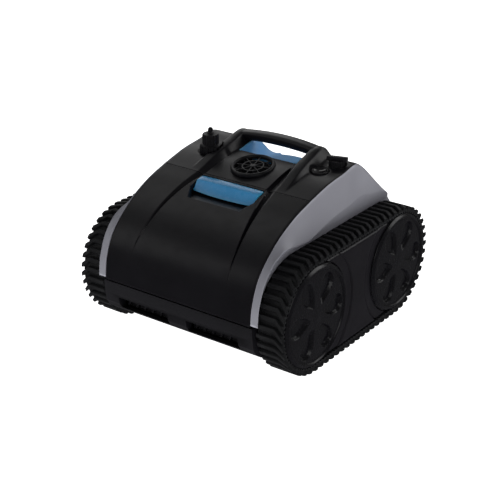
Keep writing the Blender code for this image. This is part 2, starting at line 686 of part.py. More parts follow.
def track_frame(side, name):
    """Waisted cover between the two wheels of a track, with a foot against the chassis."""
    z0 = AXLE_Z - BAND_IN + FRAME_GAP
    z1 = AXLE_Z + BAND_IN - FRAME_GAP
    half = HALF_BASE * 0.72
    x0, x1 = sorted((side * (BELT_IN + 1.0), side * (BELT_OUT - 3.0)))
    obj = make(name, prism([(-half, z0), (half, z0), (half, z1), (-half, z1)], x0, x1),
               "frame_dark")
    for y in (-HALF_BASE, HALF_BASE):
        cut(obj, rod(DRUM_R + FRAME_GAP, side * (BELT_IN - 9), side * (BELT_OUT + 9), 48, "X"),
            (0, y, AXLE_Z))
    waist = HALF_BASE - DRUM_R - FRAME_GAP - 6
    a, b = sorted((side * (SIDE_OUT + FIT), side * (BELT_OUT - 9)))
    join(obj, block(a, b, -waist, waist, z0 + 10, z1 - 12))
    a, b = sorted((side * (SIDE_OUT - 1), side * (BELT_OUT - 6.5)))
    cut(obj, block(a, b, -waist + 3, waist - 3, z0 + 14, z1 - 16))
    return obj


def running_gear(side, word):
    belt(side, word + "_track_belt")
    track_frame(side, word + "_track_frame")
    for y, place in ((-HALF_BASE, "front"), (HALF_BASE, "rear")):
        bore = AXLE_R + 0.4 if place == "front" else AXLE_R + FIT
        wheel(side, y, f"{word}_{place}_wheel", bore)
        hubcap(side, y, f"{word}_{place}_hubcap")
        inner = SIDE_OUT - 6.5
        bush = [(inner, AXLE_R + 0.4), (inner, 9.0), (SIDE_OUT + FIT, 9.0),
                (SIDE_OUT + FIT, 11.5), (SIDE_OUT + 2.6, 11.5), (SIDE_OUT + 2.6, AXLE_R + 0.4)]
        make(f"{word}_{place}_bush", turned([(side * a, r) for a, r in bush], 12, "X"),
             "inner_grey", (0, y, AXLE_Z))
    end = BELT_OUT - 6.0
    a, b = sorted((side * (SIDE_IN - 22), side * end))
    make(word + "_front_axle", rod(AXLE_R, a, b, 16, "X"), "steel", (0, -HALF_BASE, AXLE_Z))
    a, b = sorted((side * (SIDE_IN - 11), side * end))
    make(word + "_drive_shaft", rod(AXLE_R, a, b, 16, "X"), "steel", (0, HALF_BASE, AXLE_Z))
    # front axle block and rear gear motor stand on the chassis floor
    a, b = sorted((side * (SIDE_IN - 24), side * (SIDE_IN - 9)))
    holder = make(word + "_axle_block",
                  block(a, b, -HALF_BASE - 10, -HALF_BASE + 10, BELLY_Z + WALL + FIT, AXLE_Z + 10),
                  "inner_grey")
    a, b = sorted((side * (SIDE_IN - 40), side * SIDE_IN))
    cut(holder, rod(AXLE_R + FIT, a, b, 16, "X"), (0, -HALF_BASE, AXLE_Z))
    face = SIDE_IN - 6
    body = [(face - 66, 0), (face - 66, 18), (face - 22, 18), (face - 22, 22), (face, 22),
            (face, AXLE_R + 0.4), (face - 7, AXLE_R + 0.4), (face - 7, 0)]
    make(word + "_drive_motor", turned([(side * x, r) for x, r in body], 16, "X"), "inner_grey",
         (0, HALF_BASE, AXLE_Z))


# ============================================================================ pump, power
def outlet_and_pump(axis):
    """Everything on the tilted outlet axis; local +Z runs out of the top cover."""
    ring = [(-1.4, OUTLET_R - 6), (-1.4, OUTLET_R), (2.0, OUTLET_R), (3.6, OUTLET_R - 1.6),
            (3.6, OUTLET_R - 4.2), (1.8, OUTLET_R - 6)]
    grille = make("outlet_grille", turned(ring, 24), "base_black", parent=axis)
    join(grille, tube(OUTLET_R * 0.44, OUTLET_R * 0.5, -0.4, 1.4, 16), (0, 0, 0), axis)
    join(grille, rod(OUTLET_R * 0.14, -0.6, 1.8, 8), (0, 0, 0), axis)
    for i in range(4):
        bar = block(-OUTLET_R + 4, OUTLET_R - 4, -0.9, 0.9, -0.5, 1.2)
        bmesh.ops.rotate(bar, cent=(0, 0, 0), verts=bar.verts,
                         matrix=Matrix.Rotation(i * math.pi / 4 + 0.2, 3, "Z"))
        join(grille, bar, (0, 0, 0), axis)
    top = -COVER_T - 1.4
    duct = [(top, IMPELLER_R + 2.5), (top, IMPELLER_R + 5.5), (top - 44, IMPELLER_R + 5.5),
            (top - 44, MOTOR_R + 0.6), (top - 41, MOTOR_R + 0.6), (top - 41, IMPELLER_R + 2.5)]
    make("outlet_duct", turned(duct, 20), "inner_grey", parent=axis)
    # impeller: hub, shaft and six pitched blades
    imp = make("impeller", rod(8, -30, -16, 18), "inner_grey", parent=axis)
    join(imp, rod(2.4, -50, -29, 12), (0, 0, 0), axis)
    for i in range(6):
        blade = block(4, IMPELLER_R, -1.0, 1.0, -29, -17)
        for v in blade.verts:
            v.co.y += (v.co.z + 23) * 0.55 * (v.co.x / IMPELLER_R + 0.3)
        bmesh.ops.rotate(blade, cent=(0, 0, 0), verts=blade.verts,
                         matrix=Matrix.Rotation(i * math.tau / 6, 3, "Z"))
        join(imp, blade, (0, 0, 0), axis)
    motor = [(-112, 0), (-112, MOTOR_R), (-44, MOTOR_R), (-44, 9), (-41, 9), (-41, 2.9),
             (-52, 2.9), (-52, 0)]
    make("pump_motor", turned(motor, 16), "inner_grey", parent=axis)


def power_pack():
    """Sealed box behind the pump: battery, control board, gasket and lid."""
    x, y0, y1, z0, z1 = 52.0, CREST_Y, CREST_Y + 66, AXLE_Z + 25, SEAM_Z - 54
    box = make("battery_box", block(-x, x, y0, y1, z0, z1), "inner_grey")
    cut(box, block(-x + 3, x - 3, y0 + 3, y1 - 3, z0 + 3, z1 + 9))
    ring = make("box_gasket", block(-x, x, y0, y1, z1 + FIT, z1 + 1.5), "rubber")
    cut(ring, block(-x + 3, x - 3, y0 + 3, y1 - 3, z1 - 5, z1 + 9))
    make("battery_box_lid", block(-x, x, y0, y1, z1 + 1.8, z1 + 4.8), "inner_grey")
    make("battery_pack", block(-x + 6, x - 6, y0 + 6, y1 - 6, z0 + 3 + FIT, z0 + 34), "blue")
    make("control_board", block(-x + 8, x - 8, y0 + 8, y1 - 8, z0 + 40, z0 + 41.6),
         "board_green")


# ============================================================================ controls
def power_button():
    level = seat_level(BUTTON_Y, BUTTON_R + 3.4)
    ring = [(FIT, BUTTON_R + 0.5), (FIT, BUTTON_R + 3), (2.6, BUTTON_R + 3),
            (3.6, BUTTON_R + 2), (3.2, BUTTON_R + 0.5)]
    make("button_bezel", turned(ring, 20), "base_black", (BUTTON_X, BUTTON_Y, level))
    cap = [(-6.0, 0), (-6.0, BUTTON_R), (2.6, BUTTON_R), (3.2, BUTTON_R - 1.2),
           (1.9, BUTTON_R * 0.5), (1.6, 0)]
    make("power_button", turned(cap, 20), "wheel_black", (BUTTON_X, BUTTON_Y, level))
    make("button_switch", block(-6, 6, -6, 6, -16, -8.4), "inner_grey",
         (BUTTON_X, BUTTON_Y, level))


def charging_port():
    """Socket in the cover, and a screw cap with a wing grip and a plug that fills the socket."""
    level = seat_level(PORT_Y, PORT_R + 0.5)
    socket = [(-14, 0), (-14, 8), (5.5, 8), (5.5, 5.5), (-6, 5.5), (-6, 0)]
    make("charge_port", turned(socket, 14), "inner_grey", (PORT_X, PORT_Y, level))
    axis = empty("charge_cap_axis", (PORT_X, PORT_Y, level))
    shell = [(FIT, PORT_R - 3.2), (FIT, PORT_R), (9.5, PORT_R), (10.6, PORT_R - 1),
             (10.6, 0), (-5.4, 0), (-5.4, 5.1), (7.8, 5.1), (7.8, PORT_R - 3.2)]
    cap = make("charge_cap", turned(shell, 20), "base_black", parent=axis)
    wing = block(-15.5, 15.5, -4.0, 4.0, 9.6, 15.5)
    bmesh.ops.rotate(wing, cent=(0, 0, 0), verts=wing.verts,
                     matrix=Matrix.Rotation(math.radians(17), 3, "Z"))
    join(cap, wing, (0, 0, 0), axis)


def tether_swivel():
    """Fixed ribbed nut with a turning stem that ends in an eye."""
    level = seat_level(SWIVEL_Y, SWIVEL_R + 0.5)
    at = (SWIVEL_X, SWIVEL_Y, level)
    shell = [(FIT, 6.6), (FIT, SWIVEL_R), (11.5, SWIVEL_R), (15.0, SWIVEL_R - 2.5), (15.0, 6.6)]
    nut = make("swivel_nut", turned(shell, 16), "base_black", at)
    for i in range(8):
        a = (i + 0.5) * math.tau / 8
        notch = rod(1.8, -2, 13.0, 6)
        place = (at[0] + math.cos(a) * (SWIVEL_R + 0.5), at[1] + math.sin(a) * (SWIVEL_R + 0.5),
                 at[2])
        cut(nut, notch, place)
    axis = empty("swivel_axis", at)
    stem = [(-9.0, 0), (-9.0, 6.0), (15.4, 6.0), (15.4, 12.8), (30.0, 12.8), (31.5, 11.4),
            (31.5, 5.0), (33.0, 4.6), (40.0, 4.6), (41.5, 3.0), (41.5, 0)]
    eye = make("swivel_stem", turned(stem, 16), "base_black", parent=axis)
    cut(eye, rod(1.8, -12, 12, 10, "X"), (0, 0, 37.0), axis)


# ============================================================================ assembly
def finish():
    """Smooth round pieces and keep their hard edges."""
    for obj in bpy.data.objects:
        if obj.type == "MESH":
            obj.data.shade_smooth()
            obj.data.set_sharp_from_angle(angle=math.radians(32))


clear_scene()
chassis()
front_cover()
latch()
cover_and_axis = top_cover()
handle_liner()
side_panel(1, "right_side_panel")
side_panel(-1, "left_side_panel")
running_gear(1, "right")
running_gear(-1, "left")
inlet_flap(1, "right_inlet_flap")
inlet_flap(-1, "left_inlet_flap")
filter_basket()
outlet_and_pump(cover_and_axis[1])
power_pack()
power_button()
charging_port()
tether_swivel()
finish()
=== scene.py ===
import math

import bmesh
import bpy
import numpy as np
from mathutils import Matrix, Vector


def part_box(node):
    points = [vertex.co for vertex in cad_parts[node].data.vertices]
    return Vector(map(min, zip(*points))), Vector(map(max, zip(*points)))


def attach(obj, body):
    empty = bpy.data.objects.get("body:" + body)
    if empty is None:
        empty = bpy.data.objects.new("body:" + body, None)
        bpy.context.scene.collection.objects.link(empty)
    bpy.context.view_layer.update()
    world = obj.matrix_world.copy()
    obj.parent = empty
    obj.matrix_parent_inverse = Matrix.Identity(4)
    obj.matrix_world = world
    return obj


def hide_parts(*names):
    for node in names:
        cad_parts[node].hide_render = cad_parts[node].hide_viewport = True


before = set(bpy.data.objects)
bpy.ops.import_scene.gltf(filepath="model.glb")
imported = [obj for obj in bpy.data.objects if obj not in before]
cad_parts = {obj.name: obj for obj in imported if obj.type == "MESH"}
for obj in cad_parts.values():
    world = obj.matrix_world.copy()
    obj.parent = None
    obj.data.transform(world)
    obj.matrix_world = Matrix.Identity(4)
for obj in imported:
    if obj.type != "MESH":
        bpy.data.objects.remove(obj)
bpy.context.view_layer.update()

# ------------------------------------------------------------------ view, floor and light
# The robot stands on a plain pale floor in a white room, seen from the front right.
# Soft boxes hang round it: the strongest behind its right shoulder, weaker ones elsewhere.
azimuth, elevation = math.radians(35.92), math.radians(23.4)
toward_eye = np.array([math.sin(azimuth) * math.cos(elevation),
                       -math.cos(azimuth) * math.cos(elevation), math.sin(elevation)])
camera = bpy.data.objects.new("camera", bpy.data.cameras.new("camera"))
camera.data.lens = 90.97
camera.data.sensor_width = 36.0
camera.data.shift_x = -0.0162
camera.data.shift_y = -0.0426
camera.location = toward_eye * 1.9377 + np.array([0, 0, 0.1357])
camera.rotation_mode = "QUATERNION"
bpy.context.scene.collection.objects.link(camera)
bpy.context.scene.camera = camera
camera.rotation_quaternion = (Vector(-toward_eye)).to_track_quat("-Z", "Y")


def soft_box(name, place, watts):
    """A white square lamp at place, turned to the robot's middle."""
    lamp = bpy.data.lights.new(name, "AREA")
    lamp.shape = "RECTANGLE"
    lamp.size = lamp.size_y = 0.9
    lamp.energy = watts
    made = bpy.data.objects.new(name, lamp)
    made.location = place
    away = Vector((0, 0, 0.12)) - Vector(place)
    made.rotation_mode = "QUATERNION"
    made.rotation_quaternion = away.to_track_quat("-Z", "Y")
    bpy.context.scene.collection.objects.link(made)


soft_box("box_right_behind", (1.09, 1.09, 0.94), 5.2)
soft_box("box_behind", (0.0, 1.55, 0.94), 2.6)
soft_box("box_left_behind", (-1.09, 1.09, 0.94), 2.6)
soft_box("box_left_front", (-1.09, -1.09, 0.94), 1.9)
soft_box("box_right_front", (1.09, -1.09, 0.94), 3.0)
soft_box("box_left", (-1.0, 0.0, 1.55), 1.8)

room = bpy.data.worlds.new("room")
room.use_nodes = True
air = room.node_tree.nodes["Background"].inputs
air["Color"].default_value = (1, 1, 1, 1)
air["Strength"].default_value = 0.09
bpy.context.scene.world = room
bpy.context.scene.view_settings.view_transform = "Standard"

half = 12.0
floor_mesh = bpy.data.meshes.new("floor")
rim = [(-half, -half), (half, -half), (half, half), (-half, half)]
floor_mesh.from_pydata([(x, y, 0) for x, y in rim], [], [(0, 1, 2, 3)])
floor = bpy.data.objects.new("floor", floor_mesh)
bpy.context.scene.collection.objects.link(floor)
paint = bpy.data.materials.new("floor_paint")
paint.use_nodes = True
coat = paint.node_tree.nodes["Principled BSDF"].inputs
coat["Base Color"].default_value = (.93, .93, .93, 1)
coat["Roughness"].default_value = 0.8
coat["Emission Color"].default_value = (1, 1, 1, 1)
coat["Emission Strength"].default_value = 1.25
floor_mesh.materials.append(paint)
floor.visible_glossy = False

# A white wall stands round the floor's far edge. It is only seen, and gives no light or shade.
wall_mesh = bpy.data.meshes.new("far_wall")
wall_mesh.from_pydata([(x, y, z) for z in (0, half) for x, y in rim], [],
                      [(i, (i + 1) % 4, (i + 1) % 4 + 4, i + 4) for i in range(4)])
wall_mesh.materials.append(paint)
far_wall = bpy.data.objects.new("far_wall", wall_mesh)
bpy.context.scene.collection.objects.link(far_wall)
far_wall.visible_diffuse = far_wall.visible_glossy = False
far_wall.visible_transmission = far_wall.visible_shadow = False


# ------------------------------------------------------------------ front cover
# The hinged filter lid: one curved black moulding, 265 mm wide, from the hinge bead at the
# nose up to the seam. Two grooves run down it, and the latch sits in a well under the seam.
class Tone:
    """A socket of a finish's shader; arithmetic on it adds Math nodes."""

    def __init__(self, finish, socket):
        self.finish = finish
        self.socket = socket

    def math(self, operation, *values):
        return self.finish.node("ShaderNodeMath", {"operation": operation}, values)

    def __add__(self, other):
        return self.math("ADD", self, other)

    def __radd__(self, other):
        return self.math("ADD", other, self)

    def __sub__(self, other):
        return self.math("SUBTRACT", self, other)

    def __rsub__(self, other):
        return self.math("SUBTRACT", other, self)

    def __mul__(self, other):
        return self.math("MULTIPLY", self, other)

    def __rmul__(self, other):
        return self.math("MULTIPLY", other, self)

    def between(self, low, high):
        """0 below low, 1 above high, straight in between."""
        return self.finish.node("ShaderNodeMapRange", {"clamp": True}, {0: self, 1: low, 2: high})


class Finish:
    """A Principled material built from nodes; constants go straight on the shader."""

    def __init__(self, name, **constants):
        self.material = bpy.data.materials.new(name)
        self.material.use_nodes = True
        self.tree = self.material.node_tree
        self.shader = self.tree.nodes["Principled BSDF"]
        for socket, value in constants.items():
            self.shader.inputs[socket.replace("_", " ")].default_value = value

    def node(self, kind, settings=None, values=(), out=0):
        """Adds a node: settings first, then a value or a link for each input."""
        made = self.tree.nodes.new(kind)
        for key, value in (settings or {}).items():
            setattr(made, key, value)
        pairs = values.items() if isinstance(values, dict) else enumerate(values)
        for key, value in pairs:
            if isinstance(value, Tone):
                self.tree.links.new(value.socket, made.inputs[key])
            else:
                made.inputs[key].default_value = value
        return Tone(self, made.outputs[out])

    def feed(self, **tones):
        for socket, tone in tones.items():
            self.tree.links.new(tone.socket, self.shader.inputs[socket.replace("_", " ")])

    def noise(self, scale, detail=3.0, stretch=(1, 1, 1)):
        """Fractal noise on the piece's own coordinates, scale in cycles per metre."""
        place = self.node("ShaderNodeTexCoord", out="Object")
        place = self.node("ShaderNodeMapping", {}, {0: place, 3: stretch})
        return self.node("ShaderNodeTexNoise", {}, {"Vector": place, "Scale": scale,
                                                    "Detail": detail})

    def blend(self, amount, low, high):
        """Colour low where amount is 0, high where it is 1."""
        mix = {"data_type": "RGBA"}
        return self.node("ShaderNodeMix", mix, {0: amount, 6: low, 7: high}, out=2)

    def grain(self, height, depth):
        """Bump of the given depth in metres into the shader's normal."""
        bump = self.node("ShaderNodeBump", {}, {"Height": height, "Distance": depth})
        self.feed(Normal=bump)


def moulded(name, dark, light, rough, spread, grain, pores=2600.0, **constants):
    """Moulded plastic: fine spark-erosion grain, a slow drift of colour and of gloss,
    handling haze in patches, and a paler, smoother line along edges that is partly
    rubbed wear and partly painted sheen."""
    made = Finish(name, **constants)
    drift = made.noise(14.0, 4.0)
    haze = made.noise(55.0, 5.0, (1.0, 1.6, 0.7)).between(0.42, 0.72)
    speck = made.noise(pores, 2.0)
    # Convex edges are painted paler: partly rubbed wear, partly a painted edge highlight.
    sheen_and_wear = made.node("ShaderNodeNewGeometry", out="Pointiness").between(0.515, 0.6)
    colour = made.blend(drift.between(0.3, 0.7), (*dark, 1), (*light, 1))
    sheen_and_wear_tone = [min(1.0, c * 1.9 + 0.006) for c in light]
    colour = made.blend(sheen_and_wear * 0.55, colour, (*sheen_and_wear_tone, 1))
    made.feed(Base_Color=colour)
    made.feed(Roughness=rough + (haze - 0.5) * spread + (speck - 0.5) * 0.1 - sheen_and_wear * 0.05)
    made.grain(speck, grain)
    return made.material


def ease(t):
    """0 below t = 0, 1 above t = 1, and an S-curve between."""
    t = np.clip(t, 0.0, 1.0)
    return t * t * (3 - 2 * t)


def mesh_of(name, parts, material, turn=False, wall=0.0, edges=30.0):
    """One object from (points in mm, quads) parts: parts are stacked, equal points merged,
    faces smoothed up to the edge angle, and a sheet gets its wall inwards."""
    starts = np.cumsum([0] + [len(p) for p, _ in parts])
    points = np.concatenate([p for p, _ in parts]) * 0.001
    quads = np.concatenate([q + s for (_, q), s in zip(parts, starts)])
    mesh = bpy.data.meshes.new(name)
    mesh.vertices.add(len(points))
    mesh.vertices.foreach_set("co", points.astype(np.float32).ravel())
    mesh.loops.add(quads.size)
    mesh.loops.foreach_set("vertex_index", quads.astype(np.int32).ravel())
    mesh.polygons.add(len(quads))
    mesh.polygons.foreach_set("loop_start", np.arange(0, quads.size, 4, dtype=np.int32))
    mesh.update(calc_edges=True)
    mesh.validate()
    shape = bmesh.new()
    shape.from_mesh(mesh)
    bmesh.ops.remove_doubles(shape, verts=shape.verts, dist=2e-6)
    bmesh.ops.dissolve_degenerate(shape, edges=shape.edges, dist=1e-7)
    if turn:
        bmesh.ops.recalc_face_normals(shape, faces=shape.faces)
    shape.to_mesh(mesh)
    shape.free()
    mesh.materials.append(material)
    made = bpy.data.objects.new(name, mesh)
    bpy.context.scene.collection.objects.link(made)
    if wall:
        solid = made.modifiers.new("wall", "SOLIDIFY")
        solid.thickness = wall * 0.001
        solid.offset = -1.0
    mesh.shade_smooth()
    mesh.set_sharp_from_angle(angle=math.radians(edges))
    return made


def quads_of(rows, cols, round_rows=False, round_cols=False, keep=None):
    """Quads between neighbouring points of a rows x cols grid, closed round if asked."""
    r = np.arange(rows if round_rows else rows - 1)[:, None]
    c = np.arange(cols if round_cols else cols - 1)[None, :]
    r2, c2 = (r + 1) % rows, (c + 1) % cols
    quads = np.stack([r * cols + c, r * cols + c2, r2 * cols + c2, r2 * cols + c], -1)
    return quads[keep] if keep is not None else quads.reshape(-1, 4)


def sheet(grid, **closed):
    """A (rows, cols, 3) grid of points as one part."""
    rows, cols = grid.shape[:2]
    return grid.reshape(-1, 3), quads_of(rows, cols, **closed)


def through(knots, step):
    """Catmull-Rom curve through (y, z) knots, resampled at about equal steps in mm."""
    k = np.asarray(knots, float)
    k = np.concatenate([2 * k[:1] - k[1:2], k, 2 * k[-1:] - k[-2:-1]])
    t = np.linspace(0, 1, 60, endpoint=False)[:, None]
    p0, p1, p2, p3 = (k[i:len(k) - 3 + i, None] for i in range(4))
    curve = 0.5 * (2 * p1 + (p2 - p0) * t + (2 * p0 - 5 * p1 + 4 * p2 - p3) * t ** 2
                   + (3 * p1 - p0 - 3 * p2 + p3) * t ** 3)
    curve = np.concatenate([curve.reshape(-1, 2), k[-2:-1]])
    far = np.concatenate([[0], np.cumsum(np.hypot(*np.diff(curve, axis=0).T))])
    at = np.linspace(0, far[-1], int(far[-1] / step) + 1)
    return np.stack([np.interp(at, far, curve[:, 0]), np.interp(at, far, curve[:, 1])], -1)


def outward(line):
    """Unit normals on the left of a (y, z) line, which is outside for the body's line."""
    d = np.gradient(line, axis=0)
    d /= np.hypot(d[:, :1], d[:, 1:])
    return np.stack([-d[:, 1], d[:, 0]], -1)


def turned_down(line, normal, radius, depth, at_end):
    """Carries the line round a small radius and straight inwards at one end."""
    end, n = (line[-1], normal[-1]) if at_end else (line[0], normal[0])
    t = np.array([n[1], -n[0]]) * (1 if at_end else -1)
    a = np.radians([0, 30, 60, 90])[:, None]
    bend = end - t * radius * (1 - np.sin(a)) - n * radius * (1 - np.cos(a))
    down = np.stack([end - n * depth * k for k in (0.5, 1.0)])
    extra = np.concatenate([bend, down])
    room_left = (line - end) @ t < -radius * 1.05
    kept, kept_n = line[room_left], normal[room_left]
    extra_n = np.repeat(n[None], len(extra), 0)
    if at_end:
        return np.concatenate([kept, extra]), np.concatenate([kept_n, extra_n])
    return np.concatenate([extra[::-1], kept]), np.concatenate([extra_n, kept_n])


def across(stations, counts):
    """Columns of a sheet: between neighbouring stations, each an array over the rows, the
    given number of even steps. Returns x (rows, cols) and each column's station number."""
    x, where = [], []
    for i, n in enumerate(counts):
        t = np.arange(n + (i == len(counts) - 1)) / n
        x.append(stations[i][:, None] * (1 - t) + stations[i + 1][:, None] * t)
        where.append(i + t)
    return np.concatenate(x, 1), np.concatenate(where)


def both_halves(points):
    """A sheet for x >= 0 joined to its mirror image; the first column lies on x = 0."""
    return np.concatenate([points[:, :0:-1] * np.array([-1, 1, 1]), points], 1)


front_knots = [(-203, 95), (-198, 126), (-181, 161.8), (-143, 195.8), (-100.2, 218.3),
               (-57.4, 231.8)]
rear_knots = [(-57.4, 231.8), (-13, 242.1), (28, 247), (58, 252), (76, 246.5), (108, 217),
              (149, 174), (175, 135), (185, 95)]
body_line = np.concatenate([through(front_knots, 1.0), through(rear_knots, 1.0)[1:]])


def skin_z(y):
    """Height of the covers' outer face at y."""
    return np.interp(y, body_line[:, 0], body_line[:, 1])


cover_half = 132.6
black_cover = moulded("black_cover", (.0040, .0036, .0052), (.0060, .0055, .0078), 0.36, 0.08,
                      0.000012, Specular_IOR_Level=0.30)


def groove_inner(y):
    """Inner edge of the groove: 55.5 mm from the middle at the seam, 85.6 at the nose."""
    t = np.clip((-57.4 - y) / 136.0, 0, 1)
    return 55.5 + 30.1 * t ** 0.85


def groove_outer(y):
    """Outer edge of the groove: 72 mm from the middle at the seam, 87.4 at the nose."""
    t = np.clip((-57.4 - y) / 136.0, 0, 1)
    return 72.0 + 15.4 * t ** 1.1


line = through(front_knots, 1.3)
line = line[line[:, 0] < -57.7]
line = np.concatenate([line, [[-57.7, skin_z(-57.7)]]])
bead_angle = np.radians(np.linspace(282, 184, 9))
bead = np.stack([-199 + 4 * np.cos(bead_angle), 95 + 4 * np.sin(bead_angle)], -1)
line = np.concatenate([bead, line])
line, normal = turned_down(line, outward(line), 0.9, 4.5, True)
y_row = line[:, 0]
wide = np.maximum(groove_outer(y_row) - groove_inner(y_row), 3.0)
stations = [0 * y_row, 0 * y_row + 38] + [groove_inner(y_row) + wide * share + past
                                          for share, past in ((0, -0.6), (0.12, 0), (0.45, 0),
                                                              (1, 0), (1, 1.6))]
stations.append(0 * y_row + cover_half - 1.4)
x, where = across(stations, [14, 22, 4, 4, 6, 3, 16])
curl = np.radians([30, 60, 90])
x = np.concatenate([x, np.tile(cover_half - 1.4 + 1.4 * np.sin(curl), (len(x), 1)),
                    np.full((len(x), 2), cover_half)], 1)
rim_drop = np.concatenate([np.zeros(len(where)), 1.4 * (1 - np.cos(curl)), [3.0, 5.0]])
run = ease((y_row + 197) / 70) * (1 - 0.15 * ease((y_row + 80) / 20))
t = (x - groove_inner(y_row)[:, None]) / wide[:, None]
groove = 5.4 * run[:, None] * ease(t / 0.22) * (1 - ease((t - 0.3) / 0.72))
yy = np.broadcast_to(y_row[:, None], x.shape)
well = 11.5 * ease((56.4 - x) / 1.0 + 0.5) * ease((yy + 92.6) / 1.2 + 0.5)
well = well * (1 - ease((yy + 62.4) / 1.2 + 0.5))
recess_half = 56.0 + (yy + 92) * 0.55
recess_depth = 4.0 + 7.5 * np.clip((yy + 110.5) / 18, 0, 1)
recess = recess_depth * ease((recess_half - x) / 1.4 + 0.5) * ease((yy + 110.5) / 1.6 + 0.5)
recess = np.where(yy < -90, recess, 0)
sunk = np.maximum(groove, np.maximum(well, recess))
sunk = sunk + np.minimum(rim_drop, 1.4 + 3.6 * ease((y_row[:, None] + 197) / 8))
points = np.stack([x, line[:, None, 0] - normal[:, None, 0] * sunk,
                   line[:, None, 1] - normal[:, None, 1] * sunk], -1)
front_cover = mesh_of("front_cover_shell", [sheet(both_halves(points))], black_cover, wall=2.4,
                      edges=38)
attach(front_cover, "front_cover")
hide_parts("front_cover")


# ------------------------------------------------------------------ top cover and handle
# The fixed black moulding behind the seam. Two legs grow out of it beside the grooves and
# carry the handle bar; behind the outlet it is open for the blue scoop.
def ramp(t, soft=0.2):
    """0 to 1 in a straight line, with both shoulders rounded over the share soft."""
    t = np.clip(t, 0.0, 1.0)
    low = t ** 2 / (2 * soft)
    high = 1 - soft - (1 - t) ** 2 / (2 * soft)
    return np.select([t < soft, t > 1 - soft], [low, high], t - soft / 2) / (1 - soft)


def cover_edge(y):
    """Side edge of the top cover: straight, then round its rear corner to 118.6 mm."""
    t = np.clip((y - 58.0) / 15.0, 0, 1)
    return 118.6 + 14.0 * np.sqrt(1 - t ** 2 + 1e-9)


leg_knots = through([(-60, 0), (-50, 0.2), (-35, 2.0), (-10, 6.6), (15, 11.0), (40, 14.2),
                     (58, 14.4), (67, 12.6), (75, 6.6), (85, 1.6), (95, 0), (105, 0)], 1.0)
button_seat, swivel_seat = (98.0, 19.0, 243.97), (-90.0, 0.0, 240.55)
seats = [(*button_seat, 13.6), (110.0, 47.5, 247.58, 13.1), (*swivel_seat, 17.6)]

line = through(rear_knots, 1.3)
line = line[line[:, 0] > -57.1]
line = np.concatenate([[[-57.1, skin_z(-57.1)]], line])
tail = np.flatnonzero(line[:, 0] > 82)
line = np.concatenate([line[:tail[0]], line[tail[0]:-2:3], line[-1:]])
line[np.argmin(abs(line[:, 0] - 23.3))] = (23.3, skin_z(23.3))
line, normal = turned_down(line, outward(line), 0.9, 4.5, False)
line, normal = turned_down(line, normal, 1.2, 4.0, True)
y_row = line[:, 0]
grow = ease((y_row + 57.4) / 115)
panel_edge = 55.5 - 1.9 * ease((y_row + 57.4) / 60)
foot = panel_edge + 2.0
leg_in = 71.5 - 7.5 * ease((y_row + 57.4) / 95)
leg_out = 83.0 - 7.5 * grow
edge = cover_edge(y_row)
stations = [0 * y_row, 0 * y_row + 36, panel_edge - 0.9, panel_edge, panel_edge + 1.1, foot,
            leg_in, leg_out, leg_out + 4.5 + 9.0 * grow, edge - 1.4]
x, where = across(stations, [18, 12, 2, 2, 3, 12, 7, 10, 24])
x = np.concatenate([x, edge[:, None] - 1.4 + 1.4 * np.sin(curl)[None],
                    np.tile(edge[:, None], 2)], 1)
where = np.concatenate([where, [10, 10, 10, 10, 10]])
rim_drop = np.concatenate([np.zeros(len(where) - 5), 1.4 * (1 - np.cos(curl)), [3.0, 5.0]])
yy = np.broadcast_to(y_row[:, None], x.shape)
lift = np.interp(y_row, leg_knots[:, 0], leg_knots[:, 1])[:, None]
groove_end = 1 - ease((y_row + 0.0) / 8.0)
groove = 5.0 * groove_end[:, None]
rise = ramp(where - 5, 0.12)
fall = 1 - ramp(where - 7, 0.25)
sunk = groove * ramp(where - 3, 0.2) * (1 - rise) + rim_drop
height = lift * rise * fall * (1 + 0.045 * np.sin(np.pi * np.clip(where - 6, 0, 1)))


def level_seats(grid):
    """Sinks a flat round seat into the sheet at each fitting, with a 2 mm slope round it."""
    for x0, y0, level, radius in seats:
        r = np.hypot(grid[..., 0] - x0, grid[..., 1] - y0)
        share = 1 - ease((r - radius) / 2.0)
        share = share * (grid[..., 2] > level - 8)
        grid[..., 2] += (level - grid[..., 2]) * share
    return grid


points = np.stack([x, line[:, None, 0] - normal[:, None, 0] * sunk,
                   line[:, None, 1] - normal[:, None, 1] * sunk + height], -1)
grid = level_seats(both_halves(points))
middle = (grid[1:, 1:] + grid[:-1, :-1]) / 2
scoop_z = 237.5 - 0.235 * (middle[..., 1] - 23.5)
n_cols = x.shape[1]
column = np.abs(np.arange(2 * n_cols - 2) - (n_cols - 1.5))
in_scoop = column[None, :] < np.searchsorted(where, 3.0)
in_scoop = in_scoop & (middle[..., 1] > 23.3) & (middle[..., 2] > scoop_z - 2.4)
throat = np.hypot(middle[..., 0], (middle[..., 1] + 13) / 0.99) < 30
hatch = np.hypot(middle[..., 0] - 98, middle[..., 1] - 19) < 11.4
keep = ~(in_scoop | throat | hatch)
top_cover = mesh_of("top_cover_shell", [sheet(grid, keep=keep)], black_cover, wall=2.4, edges=38)
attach(top_cover, "hull")
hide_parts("top_cover")

# The bar: a rounded section carried from leg to leg on a slight bow, fuller at both ends.
u = np.linspace(-1, 1, 81)[:, None]
v = np.linspace(0, 2 * np.pi, 40, endpoint=False)[None, :]
arch = 1 - u ** 2
flare = ease((np.abs(u) - 0.80) / 0.16)
low = 252.8 + 2.4 * arch - 5.0 * flare
high = 266.3 + 4.2 * arch
across_y = np.sign(np.cos(v)) * np.abs(np.cos(v)) ** 0.55
up_z = np.sign(np.sin(v)) * np.abs(np.sin(v)) ** 0.6
bar = np.stack([np.broadcast_to(u * 69.0, (81, 40)),
                56.2 + 3.0 * arch + across_y * (11.0 + 0.6 * flare),
                (low + high) / 2 + up_z * (high - low) / 2], -1)
handle_bar = mesh_of("handle_bar", [sheet(bar, round_cols=True)], black_cover, turn=True,
                     edges=50)
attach(handle_bar, "hull")
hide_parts("top_cover")


